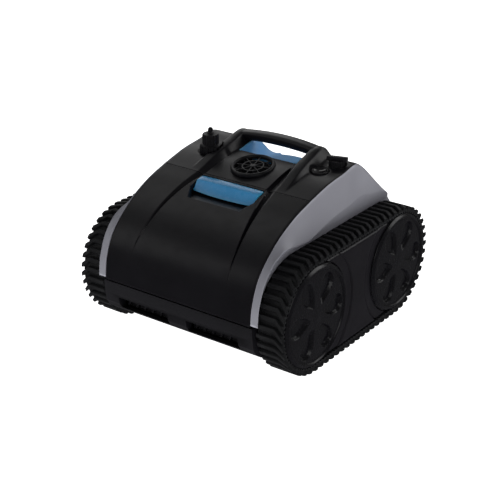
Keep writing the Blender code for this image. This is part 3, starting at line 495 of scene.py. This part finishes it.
# ------------------------------------------------------------------ blue scoop
# A glossy blue channel under the bar that lets fingers in and sheds water to the rear: two
# upright walls, a crowned floor that falls back, and a front wall against the outlet.
scoop_blue = moulded("scoop_blue", (.120, .390, .760), (.145, .440, .840), 0.34, 0.10, 0.000010,
                     Coat_Weight=0.1, Coat_Roughness=0.2)
y_row = np.concatenate([[23.5, 23.5, 23.6, 24.0, 25.2, 27.0], np.linspace(29, 111.5, 56),
                        [112.2, 112.4]])
falling = 237.5 - 0.235 * (y_row - 23.5)
top_edge = skin_z(y_row)
floor_z = falling.copy()
floor_z[:4] = [245.4, 242.0, 239.2, 237.9]
floor_z[-2:] = falling[-2:] - [0.8, 2.6]
side = np.array([[53.3, 3.0], [53.3, 0.3], [52.9, 0.0], [50.9, 0.0], [50.4, 0.4], [50.2, 1.2]])
rim = np.stack([np.broadcast_to(side[:, 0], (len(y_row), 6)), top_edge[:, None] - side[:, 1]], -1)
t = np.linspace(0, 1, 13)[1:]
corner_z = floor_z[:, None] + 2.2
wall_z = top_edge[:, None] - 1.2 + (corner_z - top_edge[:, None] + 1.2) * t
lean = 13.5 * ease((y_row[:, None] - 23.5) / 14)
wall = np.stack([50.2 - lean * t, wall_z], -1)
a = np.linspace(0, 1, 6)[1:]
fillet = np.stack([50.2 - lean - 3.2 * a + 0 * wall_z[:, :5],
                   corner_z - 2.2 * (2 * a - a ** 2)], -1)
share = np.linspace(1, 0, 20)[1:]
flat_x = (47.0 - lean) * share
crown = 2.4 * (1 - share ** 2) * ease((y_row[:, None] - 27) / 10)
flat = np.stack([flat_x, floor_z[:, None] + crown], -1)
section = np.concatenate([rim, wall, fillet, flat], 1)
section[..., 1] = np.maximum(section[..., 1], floor_z[:, None])
points = np.stack([section[..., 0], np.broadcast_to(y_row[:, None], section.shape[:2]),
                   section[..., 1]], -1)[:, ::-1]
scoop = mesh_of("handle_scoop", [sheet(both_halves(points))], scoop_blue, wall=2.0, edges=35)
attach(scoop, "hull")
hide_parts("handle_liner")


# ------------------------------------------------------------------ blue latch
# The bar that is pulled up to free the front cover: a crowned blue moulding with a flat top
# facet and a longer front facet, its lower edge bowed, turning on a pin under the seam.
latch_blue = moulded("latch_blue", (.045, .330, .700), (.060, .380, .780), 0.30, 0.10, 0.000010,
                     Coat_Weight=0.15, Coat_Roughness=0.18)
u = np.linspace(-1, 1, 71)
bow = 1 - u ** 2
shape = np.array([[-62.9, -5.0], [-62.9, -0.6], [-63.4, 0.3], [-64.4, 0.9], [-70.0, 2.0],
                  [-75.6, 2.8], [-76.6, 2.7], [-77.4, 2.0], [-80.4, -1.0], [-84.0, -4.6],
                  [-86.6, -7.2], [-87.2, -8.2], [-86.9, -9.0], [-85.8, -9.4], [-78.0, -8.4],
                  [-70.0, -7.4]])
reach = np.clip((-shape[:, 0] - 75) / 13, 0, 1)
y = shape[None, :, 0] - 3.0 * bow[:, None] * reach[None]
z = skin_z(y) + shape[None, :, 1] + 0.5 * bow[:, None] * (shape[None, :, 1] > 0)
tip = 1 - 0.12 * ease((np.abs(u) - 0.93) / 0.07)[:, None]
middle_z = skin_z(y) - 3.0
z = middle_z + (z - middle_z) * tip
bar = np.stack([np.broadcast_to(55.4 * u[:, None], y.shape), y, z], -1)
lid = np.repeat(bar.mean(1, keepdims=True), len(shape), 1)
bar = np.concatenate([lid[:1], bar, lid[-1:]])
latch = mesh_of("latch_bar", [sheet(bar, round_cols=True)], latch_blue, turn=True, edges=24)
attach(latch, "latch")
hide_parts("latch")


# ------------------------------------------------------------------ grey side shells
# One on each side: a bright upper face that leaves the cover's edge and leans out to a
# crease, and a lower face that turns back in under it to the belt.
shell_grey = moulded("shell_grey", (.285, .285, .325), (.315, .315, .358), 0.40, 0.08, 0.000010)
line = body_line[::3]
y, z = line.T
axle_y, axle_z, belt_radius = 112.5, 87.5, 87.5
core = np.stack([np.clip(y, -axle_y, axle_y), np.full_like(y, axle_z)], -1)
inward = core - line
inward /= np.hypot(*inward.T)[:, None]
reach = np.hypot(np.maximum(np.abs(y) - axle_y, 0), z - axle_z) - belt_radius
fall_in = 0.3 + 45.5 * ease((y + 173) / 105) * (1 - ease((y - 66) / 77))
out = np.where(y < 0, 1.0, ease((reach - 5.0) / 10))
crease = np.where(y > 0, 0.3 + np.maximum(0, np.minimum(fall_in, reach - 5)), fall_in)
crease_x = 139.8 + out * 6.4
deep = np.maximum(crease + 4.7, reach - 0.9)
start = cover_edge(y) + 0.5


def facet(x0, d0, x1, d1, t, bulge=0.0):
    """Straight strip from (x0, depth d0) to (x1, depth d1), bulged out in the middle."""
    x0, d0, x1, d1 = (np.asarray(a, float)[:, None] * np.ones(len(t)) for a in (x0, d0, x1, d1))
    return np.stack([x0 + (x1 - x0) * t, d0 + (d1 - d0) * t - bulge * 4 * t * (1 - t)], -1)


swell = ease((y - 30) / 45)
hip_x = (start + crease_x) / 2 * (1 - swell) + np.minimum(crease_x - 1.0, 140.6) * swell
hip = crease / 2 * (1 - swell) + 0.3 * swell
near = np.minimum(0.20, 1.6 / np.maximum(np.hypot(crease_x - hip_x, crease - hip), 1.0))
past = np.minimum(0.25, 1.6 / np.maximum(np.hypot(crease_x - 139.8, deep - crease), 1.0))
before = np.stack([crease_x + (hip_x - crease_x) * near, crease + (hip - crease) * near], -1)
after = np.stack([crease_x + (139.8 - crease_x) * past, crease + (deep - crease) * past], -1)
bend = np.linspace(0, 1, 5)[None, :, None]
knee = np.stack([crease_x, crease], -1)[:, None]
knee = (before[:, None] * (1 - bend) ** 2 + 2 * knee * bend * (1 - bend)
        + after[:, None] * bend ** 2)
lead = np.stack([np.stack([start + a, 0 * y + b], -1)
                 for a, b in ((0, 4.0), (0, 0.9), (0.25, 0.25))], 1)
u = np.linspace(0, 1, 15)[None, :-1, None]
pull = 2 * u * (1 - u) * (1 + 2.5 * swell[:, None, None])
upper = ((1 - u) ** 2 * np.stack([start + 0.8, 0 * y], -1)[:, None] + u ** 2 * before[:, None]
         + pull * np.stack([hip_x, hip], -1)[:, None]) / ((1 - u) ** 2 + u ** 2 + pull)
lower = facet(after[:, 0], after[:, 1], 0 * y + 139.8, deep, np.linspace(0, 1, 8)[1:])
tuck = facet(0 * y + 139.8, deep, 0 * y + 139.8, deep + 3.0, np.array([0.4, 1.0]))
section = np.concatenate([lead, upper, knee, lower, tuck], 1)
shell = np.stack([section[..., 0], y[:, None] + inward[:, None, 0] * section[..., 1],
                  z[:, None] + inward[:, None, 1] * section[..., 1]], -1)
shell[..., 1] = np.maximum(shell[..., 1], -202.1)
for side_name, side in (("right", 1), ("left", -1)):
    grid = shell if side > 0 else (shell * [-1, 1, 1])[:, ::-1]
    piece = mesh_of(side_name + "_shell", [sheet(grid)], shell_grey, wall=1.0, edges=40)
    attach(piece, "hull")
    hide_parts(side_name + "_side_panel")


# ------------------------------------------------------------------ toothed belts
# An endless rubber belt on each side, 43.5 mm wide, with 68 tread bars: each runs straight
# across, then bends forward near the outer edge. A fine comb of lugs hangs inside that edge.
def rubber(name, dark, light, rough):
    """Rubber: chalky bloom in patches, fine sand-like grain, dull scuffs, and a paler line
    on high edges that is partly wear and partly painted sheen.
    """
    made = Finish(name, Specular_IOR_Level=0.22)
    bloom = made.noise(38.0, 5.0).between(0.40, 0.75)
    sand = made.noise(3200.0, 3.0)
    scuff = made.noise(420.0, 4.0, (1, 0.25, 0.25)).between(0.55, 0.8)
    # High edges are painted paler: partly scuffed wear, partly a painted edge highlight.
    sheen_and_wear = made.node("ShaderNodeNewGeometry", out="Pointiness").between(0.52, 0.62)
    colour = made.blend(bloom, (*dark, 1), (*light, 1))
    colour = made.blend((scuff * 0.35 + sheen_and_wear * 0.6) * 0.8, colour, (.030, .030, .033, 1))
    made.feed(Base_Color=colour)
    made.feed(Roughness=rough + bloom * 0.10 - sheen_and_wear * 0.10 + (sand - 0.5) * 0.12)
    made.grain(sand, 0.00004)
    return made.material


belt_rubber = rubber("belt_rubber", (.0042, .0044, .0050), (.0085, .0088, .0098), 0.58)
tread_line, wheelbase = 82.5, 2 * axle_y
loop = 2 * np.pi * tread_line + 2 * wheelbase
pitch = loop / 68


def round_the_wheels(s, r):
    """(y, z) at distance s along the belt and r from the wheels' line: back along the top,
    down round the rear wheel, forward underneath and up round the front wheel."""
    s = np.mod(s, loop)
    s, r = np.broadcast_arrays(s, r)
    turn = np.pi * tread_line
    a = np.pi / 2 - (s - wheelbase) / tread_line
    b = -np.pi / 2 - (s - 2 * wheelbase - turn) / tread_line
    which = [s < wheelbase, s < wheelbase + turn, s < 2 * wheelbase + turn]
    y = np.select(which, [s - axle_y, axle_y + r * np.cos(a), axle_y - (s - wheelbase - turn)],
                  -axle_y + r * np.cos(b))
    z = np.select(which, [axle_z + r, axle_z + r * np.sin(a), axle_z - r],
                  axle_z + r * np.sin(b))
    return y, z


def carried(x, ds, r, starts):
    """Blocks carried along the belt: (x, ds, r) grids, one copy at every start."""
    y, z = round_the_wheels(starts[:, None, None] + ds, np.broadcast_to(r, ds.shape))
    grids = np.stack([np.broadcast_to(x, y.shape), y, z], -1)
    n, rows, cols = y.shape
    quads = quads_of(rows, cols, round_cols=True)
    quads = (quads[None] + (np.arange(n) * rows * cols)[:, None, None]).reshape(-1, 4)
    return grids.reshape(-1, 3), quads


def belt_parts():
    """The right belt: flat band, tread bars and inner lugs."""
    band = np.array([[141.0, 79.3], [141.0, 82.1], [141.4, 82.5], [182.6, 82.5], [183.0, 82.2],
                     [182.4, 79.4], [182.0, 79.0], [141.3, 79.0]])
    s = np.linspace(0, loop, 360, endpoint=False)[:, None]
    y, z = round_the_wheels(s, band[None, :, 1])
    flat = np.stack([np.broadcast_to(band[None, :, 0], y.shape), y, z], -1)
    parts = [sheet(flat, round_rows=True, round_cols=True)]
    section = np.array([[-4.1, 82.2], [-3.7, 83.6], [-3.1, 86.7], [-2.5, 87.4], [2.5, 87.4],
                        [3.1, 86.7], [3.7, 83.6], [4.1, 82.2]])
    x = np.array([141.0, 141.0, 141.8, 156.0, 170.5, 172.5, 182.6, 184.3, 184.4, 184.4])
    full = np.array([0.0, 0.82, 1.0, 1.0, 1.0, 1.0, 1.0, 0.93, 0.8, 0.0])[:, None]
    bend = np.interp(x, [140, 170.5, 172.5, 184.4], [0, 0, -1.6, -11.5])[:, None]
    ds = section[None, :, 0] * full * np.where(x[:, None] > 172, 1.12, 1.0) + bend
    r = 84.0 + (section[None, :, 1] - 84.0) * (0.25 + 0.75 * full)
    starts = (np.arange(68) + 0.5) * pitch
    parts.append(carried(x[:, None], ds, r, starts))
    lug = np.array([[-1.9, 79.6], [1.9, 79.6], [1.5, 77.5], [-1.5, 77.5]])
    x = np.array([177.9, 177.9, 182.4, 182.4])
    full = np.array([0.0, 1.0, 1.0, 0.0])[:, None]
    ds = lug[None, :, 0] * full
    r = 78.5 + (lug[None, :, 1] - 78.5) * full
    starts = np.arange(136) * pitch / 2
    parts.append(carried(x[:, None], ds, r, starts))
    return parts


def other_side(parts):
    """The same parts on the left: x turned round, and the quads with it."""
    return [(p * [-1, 1, 1], q[:, ::-1]) for p, q in parts]


right_belt = belt_parts()
for side_name, parts in (("right", right_belt), ("left", other_side(right_belt))):
    piece = mesh_of(side_name + "_belt", parts, belt_rubber, turn=True, edges=35)
    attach(piece, "hull")
    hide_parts(side_name + "_track_belt")


# ------------------------------------------------------------------ hub caps and wheels
# Each wheel is closed by a glossy dark cap: a bevelled rim round a dished face, and six
# oval pockets with sloping walls, broad towards the rim, with narrow ribs between them.
cap_black = moulded("cap_black", (.0036, .0034, .0046), (.0056, .0052, .0070), 0.27, 0.10,
                    0.000010, Specular_IOR_Level=0.35)
hub = np.concatenate([np.linspace(0, 8, 5), np.linspace(10, 22, 13), np.linspace(23.5, 62, 30),
                      np.linspace(63, 68.4, 8), [69.2, 69.8, 71.0, 71.6, 72.0, 72.4, 73.4, 75.4,
                                                 76.4, 76.8, 76.8, 76.8]])[:, None]
angle = np.linspace(0, 2 * np.pi, 288, endpoint=False)[None, :]


def cap_height(r, a):
    """Height of the cap's face: a dish with a low middle boss, less six pockets, each with
    a dimple near its outer end."""
    nearest = np.mod(a, np.pi / 3) - np.pi / 6
    along, beside = r * np.cos(nearest), r * np.sin(nearest)
    t = np.clip((along - 17.0) / 49.0, 0.001, 0.999)
    half = 18.5 * (1 - (1 - t) ** 1.9) ** 0.8 * np.clip((1 - t ** 5.0), 0, 1) ** 0.55
    side = (half - np.abs(beside)) / (2.6 + 1.4 * (1 - t))
    foot = (along - 17.0) / 11.0
    head = (66.0 - along) / 3.6
    pocket = ramp(np.clip(np.minimum(np.minimum(side, foot), head), 0, 1), 0.18)
    dimple = np.exp(-((r - 61.0) / 3.4) ** 2 - (beside / 2.8) ** 2)
    face = 184.5 - 0.9 * (r / 70) ** 2 + 0.5 * np.exp(-(r / 9.0) ** 2)
    return face - 4.9 * pocket - 1.6 * dimple


rim_r = np.array([68.4, 69.2, 69.8, 71.0, 71.6, 72.0, 72.4, 73.4, 75.4, 76.4, 76.8])
rim_x = np.array([183.2, 183.2, 183.5, 185.5, 185.9, 186.0, 185.9, 185.3, 183.9, 183.1, 182.5])
x = np.where(hub > 68.3, np.interp(hub, rim_r, rim_x), cap_height(hub, angle))
x[-2:] = [[181.8], [180.9]]
face = np.stack([x, hub * np.sin(angle), hub * np.cos(angle)], -1)
for side_name in ("right", "left"):
    for place, y in (("front", -axle_y), ("rear", axle_y)):
        grid = face + np.array([0, y, axle_z])
        parts = [sheet(grid, round_cols=True)]
        if side_name == "left":
            parts = other_side(parts)
        name = side_name + "_" + place
        piece = mesh_of(name + "_cap", parts, cap_black, wall=1.2, edges=32)
        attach(piece, name + "_wheel")
        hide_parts(name + "_hubcap")


# ------------------------------------------------------------------ covers between the wheels
# A satin cover fills each track between its wheels: a band follows each wheel's rim, and
# a raised plate with soft edges stands between the two bands.
frame_black = moulded("frame_black", (.0062, .0056, .0076), (.0088, .0080, .0108), 0.36, 0.10,
                      0.000012, Specular_IOR_Level=0.3)
z_row = np.concatenate([[12.4, 12.6, 13.2, 14.4], np.linspace(16, 157, 72),
                        [158.6, 160.1, 161.3, 162.2, 162.6]])
edge_drop = np.concatenate([[2.0, 1.1, 0.4, 0.05], np.zeros(72), [0.15, 0.7, 1.6, 2.9, 4.2]])


def arc_y(radius):
    """y of an arc round the front wheel's middle, at each row's height."""
    return -axle_y + np.sqrt(radius ** 2 - (z_row - axle_z) ** 2)


stations = [arc_y(78.8), arc_y(79.6), arc_y(94.4), arc_y(96.8), 0 * z_row]
y, where = across(stations, [3, 8, 4, 12])
x = 180.6 + 2.1 * ramp(where - 2, 0.3) - 1.3 * (1 - ease(where)) * (where < 1)
x = x + 0.5 * ease((where - 1.2) / 0.8) * (where < 2) + 0 * y - edge_drop[:, None]
face = np.stack([x, y, np.broadcast_to(z_row[:, None], y.shape)], -1)
rear = face[:, -2::-1] * np.array([1, -1, 1])
rear[:, 12:16, 0] -= 1.6 * np.array([0.4, 1, 1, 0.4])
face = np.concatenate([face, rear], 1)
back = face[:, [-1, 0]] * [0, 1, 1] + [147.0, 0, 0]
ring = np.concatenate([face, back], 1)
ends = np.repeat(ring.mean(1, keepdims=True), ring.shape[1], 1)
ring = np.concatenate([ends[:1], ring, ends[-1:]])
ring[0, :, 2], ring[-1, :, 2] = 12.4, 162.6
for side_name, turned_x in (("right", 1), ("left", -1)):
    parts = [sheet(ring * [turned_x, 1, 1], round_cols=True)]
    piece = mesh_of(side_name + "_between_wheels", parts, frame_black, turn=True, edges=35)
    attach(piece, "hull")
    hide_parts(side_name + "_track_frame")


# ------------------------------------------------------------------ outlet grille
# A round black grille of ring, inner ring, hub and eight thin spokes, sunk over the pump's
# throat. It leans forward with the cover; rings are turned profiles, spokes rounded bars.
trim_black = moulded("trim_black", (.0044, .0042, .0054), (.0066, .0063, .0082), 0.46, 0.10,
                     0.000018, Specular_IOR_Level=0.28)


def lathe(profile, count=96, flutes=0, depth=0.0, fluted=()):
    """Part turned about z from (radius, height) rows; rows from fluted[0] to fluted[1] are
    cut in by depth at every flute: r - depth * |sin(flutes * a / 2)| ** 0.7."""
    profile = np.asarray(profile, float)
    a = np.linspace(0, 2 * np.pi, count, endpoint=False)[None, :]
    r = np.repeat(profile[:, :1], count, 1)
    if flutes:
        low, high = fluted
        r[low:high] -= depth * np.abs(np.sin(flutes * a / 2)) ** 0.7
    z = np.repeat(profile[:, 1:], count, 1)
    return sheet(np.stack([r * np.cos(a), r * np.sin(a), z], -1), round_cols=True)


def bar_part(length, width, low, high, turned_by=0.0, start=0.0, soft=0.35):
    """Bar along x from start to length with rounded long edges, turned about z."""
    w, m = width / 2, soft
    ring = np.array([[-w, low], [w, low], [w, high - m], [w - m, high], [m - w, high],
                     [-w, high - m]])
    x = np.array([start, start, length, length])
    full = np.array([0.0, 1.0, 1.0, 0.0])[:, None]
    mid = (low + high) / 2
    points = np.stack([np.broadcast_to(x[:, None], (4, 6)), ring[None, :, 0] * full,
                       mid + (ring[None, :, 1] - mid) * full], -1)
    c, s = math.cos(turned_by), math.sin(turned_by)
    points = points @ np.array([[c, s, 0], [-s, c, 0], [0, 0, 1.0]])
    return sheet(points, round_cols=True)


def placed(parts, at, tilt=0.0):
    """Parts leaned about x by tilt, then moved to at (mm)."""
    c, s = math.cos(tilt), math.sin(tilt)
    lean = np.array([[1, 0, 0], [0, c, s], [0, -s, c]])
    return [(p @ lean + np.asarray(at, float), q) for p, q in parts]


outlet_at, outlet_tilt = (0.0, -13.0, skin_z(-13.0)), math.radians(8.4)
outer_ring = [[28.2, 0.6], [28.0, -1.3], [33.9, -1.3], [34.0, 0.6], [33.8, 1.8], [33.2, 2.8],
              [32.2, 3.4], [30.9, 3.6], [29.7, 3.3], [28.8, 2.5], [28.3, 1.6], [28.2, 0.6]]
inner_ring = [[15.0, -0.4], [17.0, -0.4], [17.0, 0.9], [16.7, 1.3], [15.3, 1.3], [15.0, 0.9],
              [15.0, -0.4]]
hub_boss = [[0, -0.6], [4.7, -0.6], [4.7, 1.2], [4.2, 1.7], [0, 1.9]]
parts = [lathe(outer_ring), lathe(inner_ring, 72), lathe(hub_boss, 36)]
parts += [bar_part(29.6, 1.5, -0.5, 1.1, 0.2 + i * math.pi / 4, 3.5) for i in range(8)]
grille = mesh_of("outlet_rings", placed(parts, outlet_at, outlet_tilt), trim_black, turn=True,
                 edges=40)
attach(grille, "hull")
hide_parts("outlet_grille")


# ------------------------------------------------------------------ power button
# A round, dished, glossy push button in a raised black bezel on the right-hand deck.
gloss_black = moulded("gloss_black", (.0048, .0046, .0058), (.0070, .0068, .0084), 0.12, 0.06,
                      0.000003, Specular_IOR_Level=0.5)
bezel_line = [[10.5, 0.3], [13.0, 0.3], [13.0, 2.2], [12.8, 2.9], [12.3, 3.4], [11.6, 3.6],
              [11.0, 3.4], [10.6, 3.0], [10.5, 2.4], [10.5, 0.3]]
bezel = mesh_of("button_ring", placed([lathe(bezel_line)], button_seat), trim_black, turn=True, edges=40)
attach(bezel, "hull")
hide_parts("button_bezel")
r = np.linspace(8.9, 0, 16)
dish = np.stack([r, 1.55 + 1.5 * (r / 8.9) ** 2], -1)
button_line = np.concatenate([[[0, -6.0], [10.0, -6.0], [10.0, 2.5], [9.8, 3.0], [9.4, 3.2]], dish])
button = mesh_of("button_dish", placed([lathe(button_line)], button_seat), gloss_black, turn=True,
                 edges=40)
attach(button, "power_button")
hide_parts("power_button")


# ------------------------------------------------------------------ charging cap
# A knurled screw cap with a wing grip across it; its plug fills the socket below.
low, high = (np.array(corner) * 1000 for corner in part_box("charge_cap"))
seat = ((low[0] + high[0]) / 2, (low[1] + high[1]) / 2, high[2] - 15.5)
cap_line = [[0, -5.4], [5.0, -5.4], [5.0, 0.3], [12.2, 0.3], [12.5, 0.8], [12.5, 8.6], [12.2, 9.6],
            [11.4, 10.3], [10.4, 10.5], [0, 10.6]]
parts = [lathe(cap_line, 168, 28, 0.8, (4, 7)),
         bar_part(15.5, 8.0, 9.4, 15.5, math.radians(17), -15.5, 1.2)]
cap = mesh_of("charging_cap", placed(parts, seat), trim_black, turn=True, edges=35)
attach(cap, "charge_cap")
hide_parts("charge_cap")


# ------------------------------------------------------------------ swivel
# A ribbed nut on the left-hand deck, and the ribbed stem that turns in it with a small eye.
nut_line = [[6.6, 0.3], [16.6, 0.3], [17.0, 0.8], [17.0, 10.6], [16.6, 11.8], [15.6, 13.4],
            [14.4, 14.6], [13.2, 15.0], [6.6, 15.0], [6.6, 0.3]]
nut = mesh_of("swivel_ring", placed([lathe(nut_line, 144, 16, 1.9, (1, 5))], swivel_seat), trim_black,
              turn=True, edges=35)
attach(nut, "hull")
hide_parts("swivel_nut")
stem_line = [[0, -9.0], [6.0, -9.0], [6.0, 15.4], [12.4, 15.4], [12.8, 15.9], [12.8, 29.0],
             [12.4, 30.4], [11.4, 31.3], [6.4, 31.5], [5.4, 32.0], [5.0, 32.8], [4.7, 33.6],
             [0, 33.6]]
a = np.linspace(0, 2 * np.pi, 48, endpoint=False)[:, None]
b = np.linspace(0, 2 * np.pi, 20, endpoint=False)[None, :]
eye = np.stack([2.6 * np.sin(b) + 0 * a, (3.3 + 1.5 * np.cos(b)) * np.cos(a) * 0.92,
                36.9 + (3.1 + 1.4 * np.cos(b)) * np.sin(a)], -1)
parts = [lathe(stem_line, 144, 18, 0.9, (4, 7)), sheet(eye, round_rows=True, round_cols=True)]
stem = mesh_of("swivel_eye", placed(parts, swivel_seat), trim_black, turn=True, edges=35)
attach(stem, "swivel_stem")
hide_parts("swivel_stem")


# ------------------------------------------------------------------ parts kept from the frame
# Chassis, flaps, basket, running gear, pump and power pack keep their own shape and only
# get a finish: textured black, ground steel, natural grey nylon, gasket rubber and so on.
steel = Finish("ground_steel", Metallic=1.0)
lines = steel.noise(90.0, 3.0, (1.0, 40.0, 40.0))
tarnish = steel.noise(30.0, 4.0).between(0.4, 0.75)
steel.feed(Base_Color=steel.blend(tarnish, (.52, .52, .53, 1), (.36, .35, .34, 1)))
steel.feed(Roughness=0.24 + lines * 0.16 + tarnish * 0.12)
steel.grain(lines, 0.000008)

board = Finish("coated_board", Coat_Weight=0.5, Coat_Roughness=0.15)
place = board.node("ShaderNodeTexCoord", out="Object")
cells = board.node("ShaderNodeTexVoronoi", {"distance": "CHEBYCHEV", "feature": "F1"},
                   {"Vector": place, "Scale": 130.0})
tracks = cells.between(0.34, 0.42)
board.feed(Base_Color=board.blend(tracks, (.010, .085, .030, 1), (.030, .19, .075, 1)))
board.feed(Roughness=0.42 - tracks * 0.12)
board.grain(tracks, 0.00003)

nylon = moulded("dark_nylon", (.020, .020, .022), (.030, .030, .033), 0.50, 0.12, 0.00002)
light_nylon = moulded("pale_nylon", (.17, .175, .18), (.21, .215, .22), 0.50, 0.12, 0.00002)
wrap = moulded("pack_blue", (.020, .080, .200), (.028, .105, .245), 0.32, 0.12, 0.000008)
seal = rubber("seal_rubber", (.010, .010, .011), (.018, .018, .019), 0.60)
drum = moulded("drum_black", (.0050, .0048, .0060), (.0078, .0074, .0092), 0.44, 0.10, 0.000014,
               Specular_IOR_Level=0.3)
finishes = [(trim_black, ["chassis_base", "left_inlet_flap", "right_inlet_flap"]),
            (steel.material, ["latch_pin", "cover_hinge_pin"]),
            (nylon, ["outlet_duct", "impeller", "pump_motor", "charge_port", "button_switch"]),
            (light_nylon, ["battery_box", "battery_box_lid", "filter_basket"]),
            (wrap, ["battery_pack"]), (seal, ["box_gasket"]), (board.material, ["control_board"])]
for side_name in ("left_", "right_"):
    finishes += [(steel.material, [side_name + "front_axle", side_name + "drive_shaft"]),
                 (drum, [side_name + "front_wheel", side_name + "rear_wheel"]),
                 (light_nylon, [side_name + "front_bush", side_name + "rear_bush",
                                side_name + "axle_block", side_name + "drive_motor"])]
for finish, names in finishes:
    for name in names:
        for material_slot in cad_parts[name].material_slots:
            material_slot.material = finish
